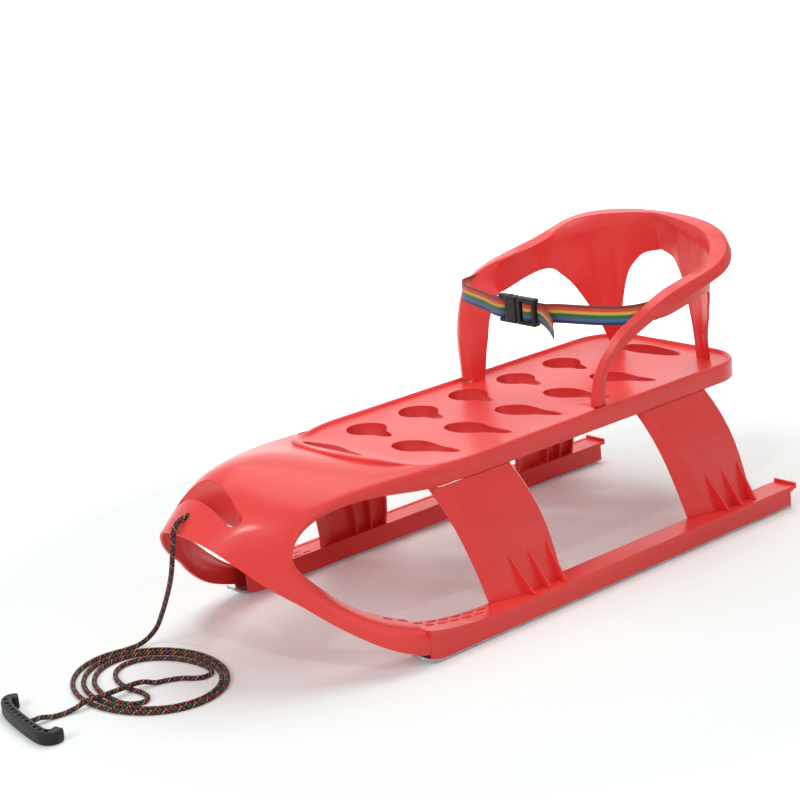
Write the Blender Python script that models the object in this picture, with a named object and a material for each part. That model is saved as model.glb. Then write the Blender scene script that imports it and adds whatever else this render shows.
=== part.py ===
"""Plastic snow sled with clip-on backrest, lap belt and tow rope.

Metres, +Z up. The sled points along -Y, the rider's left is +X, and the
origin is on the snow below the middle of the sled.
"""
import math

import bmesh
import bpy
import numpy as np
from mathutils import Matrix, Vector
from mathutils.bvhtree import BVHTree

# Clearance kept between pieces that touch
GAP = 0.0003

# Overall sizes
SLED_LENGTH = 0.860
TRACK_WIDTH = 0.386
FLANGE_TOP = 0.031
DECK_TOP = 0.202
WALL = 0.003

REAR_Y = SLED_LENGTH / 2
NOSE_Y = -SLED_LENGTH / 2
FLANGE_OUT_X = TRACK_WIDTH / 2

# Deck
DECK_HALF_WIDTH = 0.132
DECK_REAR_Y = REAR_Y - 0.009
DECK_CORNER_R = 0.060
DECK_FRONT_Y = NOSE_Y + 0.208
DECK_STRAIGHT_Y = NOSE_Y + 0.345
RIM_WIDTH = 0.008
RIM_HEIGHT = 0.005
SKIRT_DEPTH = 0.020
FRONT_LIFT = 0.020
LIFT_RUN = 0.085

# Leaf-shaped holes
HOLE_ROWS = 5
HOLE_PITCH = 0.0875
FIRST_HOLE_Y = DECK_FRONT_Y + 0.128
HOLE_X = 0.059
LEAF_LENGTH = 0.092
LEAF_HEAD_R = 0.0200
LEAF_TAIL_R = 0.0115
LEAF_ANGLE = math.radians(30)
COLLAR_WALL = 0.0024
COLLAR_DEPTH = 0.0185
FRONT_HOLE_Y = DECK_FRONT_Y + 0.034
REAR_HOLE_Y = DECK_REAR_Y - 0.036
END_HOLE_LENGTH = 0.090
END_HOLE_R = 0.0125

# Runners and their steel strips
FLANGE_WIDTH = 0.035
FLANGE_THICK = 0.004
BEAM_INSET_OUT = 0.004
BEAM_INSET_IN = 0.002
STEEL_WIDTH = 0.017
STEEL_THICK = 0.004
STEEL_INSET = 0.002
TOE_START_Y = NOSE_Y + 0.225
TOE_RADIUS = 0.060
ARM_JOINT_Y = NOSE_Y + 0.202
STEEL_FRONT_Y = NOSE_Y + 0.188
STEEL_REAR_Y = REAR_Y - 0.004
BEAM_REAR_INSET = 0.007
BEAM_RIBS = 9
RIVETS = 4
RIVET_HEAD_R = 0.0042
RIVET_SHANK_R = 0.0022
RIVET_LENGTH = 0.016
BOSS_R = 0.0055

# Legs
LEG_PITCH = 0.357
FRONT_LEG_Y = NOSE_Y + 0.323
LEG_LENGTH = 0.115
LEG_RETURN = 0.012
FIN_HEIGHT = 0.058
FIN_DEPTH = 0.014
FIN_THICK = 0.003

# Nose grip and rope hole
GRIP_HALF = 0.050
GRIP_HEIGHT = 0.020
GRIP_Y = NOSE_Y + 0.041
GRIP_Z = DECK_TOP + 0.0195
GRIP_SLOPE = math.radians(42)
GRIP_BOW = 0.012
GRIP_COLLAR = 0.005
ROPE_HOLE_R = 0.0038
ROPE_HOLE_Y = NOSE_Y + 0.0205
ROPE_Z = DECK_TOP - 0.0025

# Backrest
BACK_WALL = 0.003
BACK_RISE = 0.192
BACK_DEPTH = 0.266
BACK_HALF_WIDTH = 0.174
TONGUE_DEPTH = 0.014
ARM_TONGUE = (0.1115, 0.150, 0.003, 0.008)
PILLAR_TONGUE = (0.078, 0.3875, 0.008, 0.003)

# Lap belt
WEB_WIDTH = 0.025
WEB_THICK = 0.0016
BELT_Z = 0.3185
BUCKLE_Y = 0.128
BUCKLE_HEIGHT = 0.0366
BUCKLE_THICK = 0.012
BUCKLE_LENGTH = 0.0205
BAR_HALF = 0.0021
BUCKLE_TRAVEL = 0.022

# Tow rope and its handle
ROPE_R = 0.003
FLOOR_Z = ROPE_R + 0.0001
COIL_CENTRE = Vector((-0.045, -0.460))
COIL_X = 0.106
COIL_Y = 0.087
COIL_SHRINK_X = 0.0100
COIL_SHRINK_Y = 0.0096
COIL_DRIFT = Vector((0.0018, 0.0022))
COIL_FROM = 165
COIL_TURN = 810
HANDLE_WIDTH = 0.013
HANDLE_HEIGHT = 0.016


def clear_scene():
    """Empty the file that this script runs in."""
    for old in list(bpy.data.objects):
        bpy.data.objects.remove(old, do_unlink=True)


def make_material(name, colour, roughness, metallic=0.0):
    """A plain Principled material."""
    material = bpy.data.materials.new(name)
    material.use_nodes = True
    shader = material.node_tree.nodes["Principled BSDF"]
    shader.inputs["Base Color"].default_value = (*colour, 1.0)
    shader.inputs["Roughness"].default_value = roughness
    shader.inputs["Metallic"].default_value = metallic
    return material


clear_scene()
CORAL = make_material("coral_plastic", (0.80, 0.07, 0.06), 0.25)
BACK_CORAL = make_material("backrest_plastic", (0.80, 0.07, 0.06), 0.25)
STEEL = make_material("zinc_steel", (0.42, 0.43, 0.42), 0.40, 1.0)
WEBBING = make_material("belt_webbing", (0.10, 0.25, 0.10), 0.85)
BLACK = make_material("black_plastic", (0.015, 0.015, 0.015), 0.45)
ROPE = make_material("rope_cord", (0.02, 0.05, 0.03), 0.80)


def add_object(name, mesh_or_curve, material, guide=False):
    """Link a new object, or a guide that only cuts others."""
    obj = bpy.data.objects.new(name, mesh_or_curve)
    bpy.context.scene.collection.objects.link(obj)
    if guide:
        obj.hide_render = True
        obj.display_type = "WIRE"
    else:
        obj.data.materials.append(material)
    return obj


def mesh_object(name, bm, material=None, smooth=True):
    """Turn a bmesh into an object whose faces point out."""
    bmesh.ops.recalc_face_normals(bm, faces=bm.faces)
    mesh = bpy.data.meshes.new(name)
    bm.to_mesh(mesh)
    bm.free()
    if smooth:
        mesh.shade_smooth()
        mesh.set_sharp_from_angle(angle=math.radians(35))
    return add_object(name, mesh, material, guide=material is None)


def grid_faces(bm, rows, closed=False):
    """Quads between rows of vertices, closed around each row if asked."""
    for lower, upper in zip(rows[:-1], rows[1:]):
        count = len(lower)
        for i in range(count if closed else count - 1):
            j = (i + 1) % count
            bm.faces.new((lower[i], lower[j], upper[j], upper[i]))


def boolean(obj, other, operation, solver="EXACT"):
    """Cut, join or intersect obj with another object."""
    modifier = obj.modifiers.new(operation.lower(), "BOOLEAN")
    modifier.operation = operation
    modifier.object = other
    modifier.solver = solver
    return modifier


def box_guide(name, low, high):
    """A box between two corners, used as a cutter."""
    bm = bmesh.new()
    bmesh.ops.create_cube(bm, size=1.0)
    for vert in bm.verts:
        for axis in range(3):
            vert.co[axis] = high[axis] if vert.co[axis] > 0 else low[axis]
    return mesh_object(name, bm, smooth=False)


def prism_guide(name, outline, low, high):
    """An outline in plan, extruded between two heights."""
    bm = bmesh.new()
    bottom = [bm.verts.new((x, y, low)) for x, y in outline]
    top = [bm.verts.new((x, y, high)) for x, y in outline]
    bm.faces.new(bottom)
    bm.faces.new(top)
    grid_faces(bm, [bottom, top], closed=True)
    return mesh_object(name, bm, smooth=False)


def apply_modifiers(obj):
    """Bake an object's modifiers into its mesh."""
    graph = bpy.context.evaluated_depsgraph_get()
    baked = bpy.data.meshes.new_from_object(obj.evaluated_get(graph))
    obj.modifiers.clear()
    obj.data = baked


def smooth_curve(points, steps):
    """Points read from a smooth curve through the given points."""
    pts = [Vector(p) for p in points]
    ends = [pts[0] * 2 - pts[1]] + pts + [pts[-1] * 2 - pts[-2]]
    result = []
    for p0, p1, p2, p3 in zip(ends, ends[1:], ends[2:], ends[3:]):
        for k in range(steps):
            t = k / steps
            result.append(0.5 * ((2 * p1) + (p2 - p0) * t
                          + (2 * p0 - 5 * p1 + 4 * p2 - p3) * t ** 2
                          + (3 * p1 - p0 - 3 * p2 + p3) * t ** 3))
    result.append(pts[-1])
    return result


def offset_path(path, distance):
    """Move an open 2-D path sideways, to its left, with mitred corners."""
    pts = [Vector(p) for p in path]
    normals = []
    for a, b in zip(pts, pts[1:]):
        run = (b - a).normalized()
        normals.append(Vector((-run.y, run.x)))
    moved = []
    for i, point in enumerate(pts):
        before = normals[max(i - 1, 0)]
        after = normals[min(i, len(normals) - 1)]
        mitre = (before + after).normalized()
        moved.append(point + mitre * (distance / max(mitre.dot(after), 0.4)))
    return moved


def channel_loft(bm, levels, thickness):
    """Wall of even thickness through open sections [(z, path), ...]."""
    rings = []
    for z, path in levels:
        inner = offset_path(path, thickness)
        ring = [(p[0], p[1], z) for p in path]
        ring += [(p[0], p[1], z) for p in reversed(inner)]
        rings.append([bm.verts.new(co) for co in ring])
    grid_faces(bm, rings, closed=True)
    half = len(rings[0]) // 2
    for ring in (rings[0], rings[-1]):
        for i in range(half - 1):
            bm.faces.new((ring[i], ring[i + 1],
                          ring[-i - 2], ring[-i - 1]))


def turned(bm, profile, centre, sides):
    """Revolve (radius, height) points about a vertical axis."""
    rings = []
    for radius, height in profile:
        ring = []
        for k in range(sides):
            angle = math.tau * k / sides
            ring.append(bm.verts.new((centre[0] + radius * math.cos(angle),
                                      centre[1] + radius * math.sin(angle),
                                      centre[2] + height)))
        rings.append(ring)
    grid_faces(bm, rings, closed=True)
    bm.faces.new(rings[0])
    bm.faces.new(rings[-1])


def mirrored(obj, name, material):
    """The same piece on the other side of the sled."""
    bm = bmesh.new()
    bm.from_mesh(obj.data)
    bmesh.ops.scale(bm, vec=(-1, 1, 1), verts=bm.verts)
    return mesh_object(name, bm, material)


# Deck

def deck_half_outline(inset):
    """Right half of the deck's outline, from the nose to the rear."""
    half = DECK_HALF_WIDTH - inset
    front = DECK_FRONT_Y + inset
    rear = DECK_REAR_Y - inset
    radius = DECK_CORNER_R - inset
    points = []
    for k in range(1, 8):
        angle = math.radians(90 * k / 8)
        points.append((half * math.sin(angle),
                       DECK_STRAIGHT_Y
                       + (front - DECK_STRAIGHT_Y) * math.cos(angle)))
    points.append((half, DECK_STRAIGHT_Y))
    span = rear - radius - DECK_STRAIGHT_Y
    for k in range(1, 6):
        points.append((half, DECK_STRAIGHT_Y + span * k / 5))
    for k in range(1, 5):
        angle = math.radians(90 * k / 5)
        points.append((half - radius + radius * math.cos(angle),
                       rear - radius + radius * math.sin(angle)))
    points.append((half - radius, rear))
    return points


def deck_lift(y):
    """How far the deck sweeps up to meet the nose."""
    t = (DECK_FRONT_Y + LIFT_RUN - y) / LIFT_RUN
    t = min(max(t, 0.0), 1.0)
    return FRONT_LIFT * t * t * (3 - 2 * t)


def deck_row(x_half, y, z, columns=(0.5, 0.0, -0.5)):
    """Points across the deck between its two edges."""
    return [(x_half * s, y, z + deck_lift(y)) for s in columns]


def leaf_outline(length, head, tail, count=22):
    """A large and a small circle joined by a slightly waisted body."""
    reach = length - head - tail
    points = []
    for k in range(count):
        angle = math.tau * (k + 0.5) / count
        share = (1 + math.cos(angle)) / 2
        share = share * share * (3 - 2 * share)
        radius = head + (tail - head) * share
        points.append((-length / 2 + head + reach * share
                       + radius * math.cos(angle),
                       radius * math.sin(angle)))
    return points


def hole_places():
    """(x, y, angle, length, head, tail) of each hole in the deck."""
    places = []
    for row in range(HOLE_ROWS):
        y = FIRST_HOLE_Y + row * HOLE_PITCH
        for side in (1, -1):
            angle = LEAF_ANGLE if side > 0 else math.pi - LEAF_ANGLE
            places.append((side * HOLE_X, y, angle, LEAF_LENGTH,
                           LEAF_HEAD_R, LEAF_TAIL_R))
    for y in (FRONT_HOLE_Y, REAR_HOLE_Y):
        places.append((0, y, 0, END_HOLE_LENGTH, END_HOLE_R, END_HOLE_R))
    return places


def placed_leaf(place, grow):
    """A leaf outline in plan at its place, grown by a wall."""
    x0, y0, angle, length, head, tail = place
    points = []
    for x, y in leaf_outline(length + 2 * grow, head + grow, tail + grow):
        points.append((x0 + x * math.cos(angle) - y * math.sin(angle),
                       y0 + x * math.sin(angle) + y * math.cos(angle)))
    return points


def deck_tray():
    """The tray: plate, raised rim and skirt in one closed mesh."""
    rim = DECK_TOP + RIM_HEIGHT
    foot = DECK_TOP - SKIRT_DEPTH
    under = DECK_TOP - WALL
    profile = [(RIM_WIDTH, DECK_TOP), (RIM_WIDTH - 0.0025, rim - 0.001),
               (RIM_WIDTH / 2, rim), (0.0015, rim - 0.001),
               (0.0, rim - 0.003), (0.0, foot), (WALL, foot),
               (WALL, under), (RIM_WIDTH, under)]
    bm = bmesh.new()
    rings = []
    for inset, z in profile:
        half = deck_half_outline(inset)
        ring = [(x, y, z + deck_lift(y)) for x, y in half]
        ring += deck_row(half[-1][0], half[-1][1], z)
        ring += [(-x, y, z + deck_lift(y)) for x, y in reversed(half)]
        ring += deck_row(half[0][0], half[0][1], z, (-0.5, 0.0, 0.5))
        rings.append([bm.verts.new(co) for co in ring])
    grid_faces(bm, rings, closed=True)
    count = len(deck_half_outline(0.0))
    for ring, z in ((rings[0], DECK_TOP), (rings[-1], under)):
        half = deck_half_outline(RIM_WIDTH)
        rows = []
        for i in range(count):
            if i == 0:
                middle = [ring[-1], ring[-2], ring[-3]]
            elif i == count - 1:
                middle = ring[count:count + 3]
            else:
                middle = [bm.verts.new(co)
                          for co in deck_row(half[i][0], half[i][1], z)]
            rows.append([ring[i]] + middle + [ring[2 * count + 2 - i]])
        grid_faces(bm, rows)
    return mesh_object("seat_deck", bm, CORAL)


def deck_collars():
    """Walls that run down from the edge of each hole."""
    bm = bmesh.new()
    for place in hole_places():
        rings = []
        outer = placed_leaf(place, COLLAR_WALL)
        inner = placed_leaf(place, -0.001)
        for outline, drop in ((outer, WALL / 2), (outer, COLLAR_DEPTH),
                              (inner, COLLAR_DEPTH), (inner, WALL / 2)):
            rings.append([bm.verts.new((x, y, DECK_TOP - drop + deck_lift(y)))
                          for x, y in outline])
        grid_faces(bm, rings + [rings[0]], closed=True)
    return mesh_object("collar_guide", bm, smooth=False)


def leaf_cutters():
    """One prism for each hole."""
    bm = bmesh.new()
    for place in hole_places():
        outline = placed_leaf(place, 0.0)
        rows = [[bm.verts.new((x, y, z)) for x, y in outline]
                for z in (DECK_TOP - 0.06, DECK_TOP + 0.06)]
        grid_faces(bm, rows, closed=True)
        bm.faces.new(rows[0])
        bm.faces.new(rows[1])
    return mesh_object("leaf_guide", bm, smooth=False)


def tongue_places():
    """(x, y, half width, half depth) of the backrest's four tongues."""
    places = []
    for side in (1, -1):
        for x, y, half_x, half_y in (ARM_TONGUE, PILLAR_TONGUE):
            places.append((side * x, y, half_x, half_y))
    return places


def make_deck():
    """Deck with its holes, collars and the backrest's slots."""
    deck = deck_tray()
    boolean(deck, deck_collars(), "UNION", "MANIFOLD")
    boolean(deck, leaf_cutters(), "DIFFERENCE", "MANIFOLD")
    for i, (x, y, half_x, half_y) in enumerate(tongue_places()):
        slot = box_guide(f"slot_guide_{i}",
                         (x - half_x - GAP, y - half_y - GAP, 0.17),
                         (x + half_x + GAP, y + half_y + GAP, 0.23))
        boolean(deck, slot, "DIFFERENCE", "MANIFOLD")
    apply_modifiers(deck)
    return deck


# Nose shell and the two arms that sweep down into the runners

def rail(x, y, z):
    """A point of the nose: x share of track, y from the tip, z share."""
    return Vector((x * FLANGE_OUT_X / 0.193, NOSE_Y + 0.430 + y,
                   FLANGE_TOP + (z - 0.031) * (DECK_TOP - FLANGE_TOP) / 0.171))


def nose_cage():
    """Control rows of the right half, from the deck's edge to the front."""
    dome = [
        [(0, -0.214, 0.222), (0.062, -0.198, 0.217),
         (0.100, -0.160, 0.210), (0.129, -0.090, 0.207)],
        [(0, -0.252, 0.2360), (0.061, -0.245, 0.2275),
         (0.101, -0.213, 0.2145), (0.129, -0.165, 0.209)],
        [(0, -0.305, 0.2530), (0.058, -0.300, 0.2290),
         (0.098, -0.280, 0.2135), (0.121, -0.250, 0.210)],
        [(0, -0.361, 0.2540), (0.057, -0.353, 0.220),
         (0.093, -0.339, 0.201), (0.107, -0.323, 0.197)],
        [(0, -0.4035, 0.2205), (0.053, -0.390, 0.198),
         (0.092, -0.374, 0.168), (0.110, -0.362, 0.155)],
        [(0, -0.4340, 0.1865), (0.048, -0.4220, 0.1775),
         (0.087, -0.397, 0.140), (0.106, -0.372, 0.1145)],
    ]
    edge = [(0.131, -0.095, 0.182), (0.128, -0.160, 0.181),
            (0.118, -0.245, 0.198), (0.103, -0.325, 0.188),
            (0.109, -0.359, 0.156)]
    return dome, edge


def arm_cage():
    """Stations of the right arm: skirt foot, lip and flange inner edge."""
    return [
        [(0.118, -0.353, 0.099), (0.122, -0.352, 0.124),
         (0.114, -0.343, 0.131)],
        [(0.138, -0.333, 0.077), (0.144, -0.326, 0.097),
         (0.121, -0.303, 0.090)],
        [(0.159, -0.304, 0.052), (0.163, -0.301, 0.076),
         (0.132, -0.271, 0.066)],
        [(0.176, -0.277, 0.033), (0.181, -0.273, 0.060),
         (0.142, -0.236, 0.050)],
        [(0.187, -0.247, 0.019), (0.191, -0.242, 0.048),
         (0.149, -0.206, 0.040)],
        [(0.189, -0.200, 0.005), (0.193, -0.198, 0.038),
         (0.152, -0.170, 0.035)],
    ]


def nose_surface():
    """Whole shell with both arms, before it is split at its joints."""
    dome, edge = nose_cage()
    bm = bmesh.new()
    grid = [[bm.verts.new(rail(*p)) for p in row] for row in dome]
    grid_faces(bm, grid)
    side = [row[-1] for row in grid[:5]]
    rim = [bm.verts.new(rail(*p)) for p in edge]
    grid_faces(bm, [side, rim])
    arm = [[grid[5][-1], grid[4][-1], rim[4]]]
    arm += [[bm.verts.new(rail(*p)) for p in row] for row in arm_cage()]
    grid_faces(bm, arm)
    shell = mesh_object("nose_guide", bm)
    half = shell.modifiers.new("mirror", "MIRROR")
    half.merge_threshold = 0.0001
    half.use_clip = True
    smooth = shell.modifiers.new("smooth", "SUBSURF")
    smooth.levels = 2
    smooth.render_levels = 2
    thick = shell.modifiers.new("thick", "SOLIDIFY")
    thick.thickness = WALL
    thick.offset = -1.0
    thick.use_even_offset = True
    apply_modifiers(shell)
    return shell


def grip_outline(grow):
    """Crescent of the hand grip, seen square to the nose's slope."""
    half = GRIP_HEIGHT / 2 + grow
    points = []
    for k in range(9):
        t = 1 - k / 4
        points.append((GRIP_HALF * t, half - GRIP_BOW * t * t))
    for k in range(1, 4):
        angle = math.radians(90 + 45 * k)
        points.append((-GRIP_HALF + half * math.cos(angle),
                       -GRIP_BOW + half * math.sin(angle)))
    for k in range(9):
        t = k / 4 - 1
        points.append((GRIP_HALF * t, -half - GRIP_BOW * t * t))
    for k in range(1, 4):
        angle = math.radians(-90 + 45 * k)
        points.append((GRIP_HALF + half * math.cos(angle),
                       -GRIP_BOW + half * math.sin(angle)))
    return points


def grip_body(name, grow, low, high, skin=None):
    """The crescent as a slanted prism, or as a collar below the skin."""
    up = Vector((0, math.cos(GRIP_SLOPE), math.sin(GRIP_SLOPE)))
    normal = Vector((0, -math.sin(GRIP_SLOPE), math.cos(GRIP_SLOPE)))
    centre = Vector((0, GRIP_Y, GRIP_Z))
    bm = bmesh.new()
    rows = [[], []]
    for u, v in grip_outline(grow):
        spot = centre + Vector((u, 0, 0)) + up * v
        if skin:
            spot = skin.ray_cast(spot + normal * 0.05, -normal)[0]
        rows[0].append(bm.verts.new(spot + normal * low))
        rows[1].append(bm.verts.new(spot + normal * high))
    grid_faces(bm, rows, closed=True)
    bm.faces.new(rows[0])
    bm.faces.new(rows[1])
    return mesh_object(name, bm, smooth=False)


def make_nose():
    """Nose shell and the two toe arms, cut from one continuous surface."""
    shell = nose_surface()
    deck_edge = deck_half_outline(-GAP)
    outline = deck_edge + [(-x, y) for x, y in reversed(deck_edge)]
    deck_guide = prism_guide("deck_edge_guide", outline, 0.12, 0.30)
    joint_z = rail(0, 0, 0.124).z
    arm_end = box_guide("arm_end_guide", (-0.3, ARM_JOINT_Y - GAP, -0.1),
                        (0.3, REAR_Y, joint_z))
    boolean(shell, deck_guide, "DIFFERENCE", "MANIFOLD")
    boolean(shell, arm_end, "DIFFERENCE", "MANIFOLD")
    apply_modifiers(shell)
    pieces = []
    for name, low, high in (
            ("nose_shell", (-0.3, -0.6, joint_z), (0.3, 0.3, 0.4)),
            ("left_toe_arm", (0.0, -0.6, -0.1), (0.3, 0.3, joint_z - GAP)),
            ("right_toe_arm", (-0.3, -0.6, -0.1), (0.0, 0.3, joint_z - GAP))):
        piece = add_object(name, shell.data.copy(), CORAL)
        boolean(piece, box_guide(name + "_region", low, high), "INTERSECT",
                "MANIFOLD")
        pieces.append(piece)
    bm = bmesh.new()
    bm.from_mesh(shell.data)
    skin = BVHTree.FromBMesh(bm)
    bm.free()
    boolean(pieces[0], grip_body("grip_collar_guide", COLLAR_WALL,
                                 -GRIP_COLLAR, -WALL / 2, skin), "UNION")
    boolean(pieces[0], grip_body("grip_guide", 0.0, -0.06, 0.03),
            "DIFFERENCE", "MANIFOLD")
    bm = bmesh.new()
    turned(bm, [(ROPE_HOLE_R, -0.02), (ROPE_HOLE_R, 0.02)], (0, 0, 0), 16)
    bmesh.ops.rotate(bm, verts=bm.verts, cent=(0, 0, 0),
                     matrix=Matrix.Rotation(math.radians(90), 3, "X"))
    bmesh.ops.translate(bm, verts=bm.verts, vec=(0, ROPE_HOLE_Y, ROPE_Z))
    boolean(pieces[0], mesh_object("rope_hole_guide", bm), "DIFFERENCE",
            "MANIFOLD")
    for piece in pieces:
        apply_modifiers(piece)
    bpy.data.objects.remove(shell)
    return pieces


# Legs

def leg_profile(share):
    """x of the outer face and y of its edges, share 0 foot to 1 top."""
    lean = 1 - share
    out_x = (FLANGE_OUT_X - 0.021
             - (FLANGE_OUT_X - 0.021 - DECK_HALF_WIDTH) * share
             + 0.010 * math.sin(math.pi * share) * share)
    front = FRONT_LEG_Y - 0.046 * share ** 1.25
    crease = front + LEG_RETURN + 0.022 * lean
    rear = FRONT_LEG_Y + LEG_LENGTH - 0.036 * share ** 1.9
    return out_x, front, crease, rear


def leg_path(share, shift):
    """Open section of a leg at one height: facet, face and rear return."""
    out_x, front, crease, rear = leg_profile(share)
    depth = LEG_RETURN
    face = crease + (rear - crease) * 0.5
    return [Vector((out_x - depth, front + shift)),
            Vector((out_x - 0.001, crease - 0.003 + shift)),
            Vector((out_x, crease + 0.003 + shift)),
            Vector((out_x + 0.0008, face + shift)),
            Vector((out_x, rear - 0.003 + shift)),
            Vector((out_x - 0.003, rear + shift)),
            Vector((out_x - depth, rear + shift))]


def make_leg(name, shift):
    """One curved, hollow leg with three fins at its foot."""
    foot = FLANGE_TOP + GAP
    top = DECK_TOP - SKIRT_DEPTH - GAP
    bm = bmesh.new()
    levels = []
    for k in range(9):
        share = k / 8
        levels.append((foot + (top - foot) * share, leg_path(share, shift)))
    channel_loft(bm, levels, WALL)
    leg = mesh_object(name, bm, CORAL)
    ribs = bmesh.new()
    for part in (0.38, 0.68):
        rows = []
        for k in range(9):
            share = k / 8
            out_x, _, crease, rear = leg_profile(share)
            y = crease + (rear - crease) * part + shift
            z = foot + (top - foot) * share
            rows.append([ribs.verts.new((out_x - depth, y + side, z))
                         for depth, side in ((LEG_RETURN, -0.001),
                                             (0.0015, -0.001),
                                             (0.0015, 0.001),
                                             (LEG_RETURN, 0.001))])
        grid_faces(ribs, rows, closed=True)
        ribs.faces.new(rows[0])
        ribs.faces.new(rows[-1])
    boolean(leg, mesh_object(name + "_rib_guide", ribs, smooth=False),
            "UNION")
    fins = bmesh.new()
    for part in (0.22, 0.55, 0.88):
        corners = []
        for z_share, depth in ((0.0, FIN_DEPTH), (0.0, -0.0015),
                               (FIN_HEIGHT / (top - foot), -0.0015)):
            out_x, _, crease, rear = leg_profile(z_share)
            y = crease + (rear - crease) * part + shift
            z = foot + (top - foot) * z_share
            corners.append((out_x + depth, y, z))
        rows = [[fins.verts.new((x, y + side * FIN_THICK / 2, z))
                 for x, y, z in corners] for side in (-1, 1)]
        grid_faces(fins, rows, closed=True)
        fins.faces.new(rows[0])
        fins.faces.new(rows[1])
    boolean(leg, mesh_object(name + "_fin_guide", fins, smooth=False),
            "UNION")
    apply_modifiers(leg)
    return leg


def make_legs():
    """Four legs: front and rear on the left, mirrored to the right."""
    for end, shift in (("front", 0.0), ("rear", LEG_PITCH)):
        left = make_leg(f"left_{end}_leg", shift)
        mirrored(left, f"right_{end}_leg", CORAL)


# Runner beams, steel strips and rivets

def toe_rise(y):
    """Height of the strip's underside above the snow."""
    if y >= TOE_START_Y:
        return 0.0
    run = min(TOE_START_Y - y, TOE_RADIUS * 0.95)
    return TOE_RADIUS - math.sqrt(TOE_RADIUS ** 2 - run ** 2)


def flange_edges(y):
    """Outer x, inner x and top z of the runner's flange at y."""
    t = min(max((TOE_START_Y + 0.085 - y) / 0.108, 0.0), 1.0)
    top = FLANGE_TOP + 0.0125 * t ** 2
    inner = FLANGE_OUT_X - FLANGE_WIDTH - 0.013 * t ** 1.6
    return FLANGE_OUT_X - 0.001 * t, inner, top


def runner_stations():
    """Places along a runner, close together where it curves."""
    front = ARM_JOINT_Y
    curve = [front + (TOE_START_Y - front) * k / 3 for k in range(4)]
    curve += [TOE_START_Y + d for d in (0.02, 0.045, 0.085)]
    return curve


def make_beam():
    """Left runner: flange on two walls, ribbed and open below."""
    bm = bmesh.new()
    rings = []
    stations = runner_stations() + [REAR_Y - BEAM_REAR_INSET]
    for y in stations:
        outer, inner, top = flange_edges(y)
        foot = toe_rise(y) + STEEL_THICK + GAP
        wall_out = FLANGE_OUT_X - BEAM_INSET_OUT
        wall_in = FLANGE_OUT_X - FLANGE_WIDTH + BEAM_INSET_IN
        under = top - FLANGE_THICK
        ring = [(inner, top), (outer - 0.005, top),
                (outer - 0.004, top + 0.001), (outer, top + 0.001),
                (outer, under - 0.002), (wall_out, under - 0.002),
                (wall_out, foot), (wall_out - WALL, foot),
                (wall_out - WALL, under), (wall_in + WALL, under),
                (wall_in + WALL, foot), (wall_in, foot),
                (wall_in, under), (inner, under)]
        rings.append([bm.verts.new((x, y, z)) for x, z in ring])
    grid_faces(bm, rings, closed=True)
    for ring in (rings[0], rings[-1]):
        for quad in ((0, 1, 12, 13), (1, 8, 9, 12), (9, 10, 11, 12),
                     (5, 6, 7, 8)):
            bm.faces.new([ring[i] for i in quad])
        bm.faces.new([ring[i] for i in (1, 2, 3, 4, 5, 8)])
    beam = mesh_object("left_runner_beam", bm, CORAL)
    add_beam_ribs(beam)
    return beam


def rivet_ys():
    """Places of the rivets along a runner."""
    first = TOE_START_Y + 0.030
    last = REAR_Y - 0.030
    return [first + (last - first) * k / (RIVETS - 1) for k in range(RIVETS)]


def steel_span():
    """Inner and outer x of a steel strip."""
    outer = FLANGE_OUT_X - BEAM_INSET_OUT - STEEL_INSET
    return outer - STEEL_WIDTH, outer


def add_beam_ribs(beam):
    """Cross ribs, rivet bosses and the raised lip at the rear."""
    wall_out = FLANGE_OUT_X - BEAM_INSET_OUT - WALL / 2
    wall_in = FLANGE_OUT_X - FLANGE_WIDTH + BEAM_INSET_IN + WALL / 2
    floor = STEEL_THICK + GAP
    first = TOE_START_Y + 0.060
    last = REAR_Y - BEAM_REAR_INSET - 0.0015
    bm = bmesh.new()
    for k in range(BEAM_RIBS):
        y = first + (last - first) * k / (BEAM_RIBS - 1)
        roof = flange_edges(y)[2] - FLANGE_THICK / 2
        rows = [[bm.verts.new((x, y + side, z)) for x, z in
                 ((wall_in, floor), (wall_out, floor), (wall_out, roof),
                  (wall_in, roof))] for side in (-0.0012, 0.0012)]
        grid_faces(bm, rows, closed=True)
        bm.faces.new(rows[0])
        bm.faces.new(rows[1])
    boolean(beam, mesh_object("rib_guide", bm, smooth=False), "UNION")
    low, high = steel_span()
    centre = (low + high) / 2
    bosses = bmesh.new()
    holes = bmesh.new()
    for y in rivet_ys():
        roof = flange_edges(y)[2] - FLANGE_THICK / 2
        turned(bosses, [(BOSS_R, floor), (BOSS_R, roof)], (centre, y, 0), 12)
        turned(holes, [(RIVET_SHANK_R + GAP, -0.01),
                       (RIVET_SHANK_R + GAP, RIVET_LENGTH + GAP)],
               (centre, y, 0), 12)
    boolean(beam, mesh_object("boss_guide", bosses), "UNION")
    boolean(beam, mesh_object("boss_hole_guide", holes), "DIFFERENCE")
    outer, inner, top = flange_edges(REAR_Y)
    shelf = box_guide("rear_lip_guide",
                      (inner, REAR_Y - BEAM_REAR_INSET - 0.001,
                       top - FLANGE_THICK), (outer, REAR_Y, top))
    lip = box_guide("rear_edge_guide", (inner, REAR_Y - 0.003, top - 0.002),
                    (outer, REAR_Y, top + 0.004))
    boolean(beam, shelf, "UNION")
    boolean(beam, lip, "UNION")
    apply_modifiers(beam)


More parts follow.
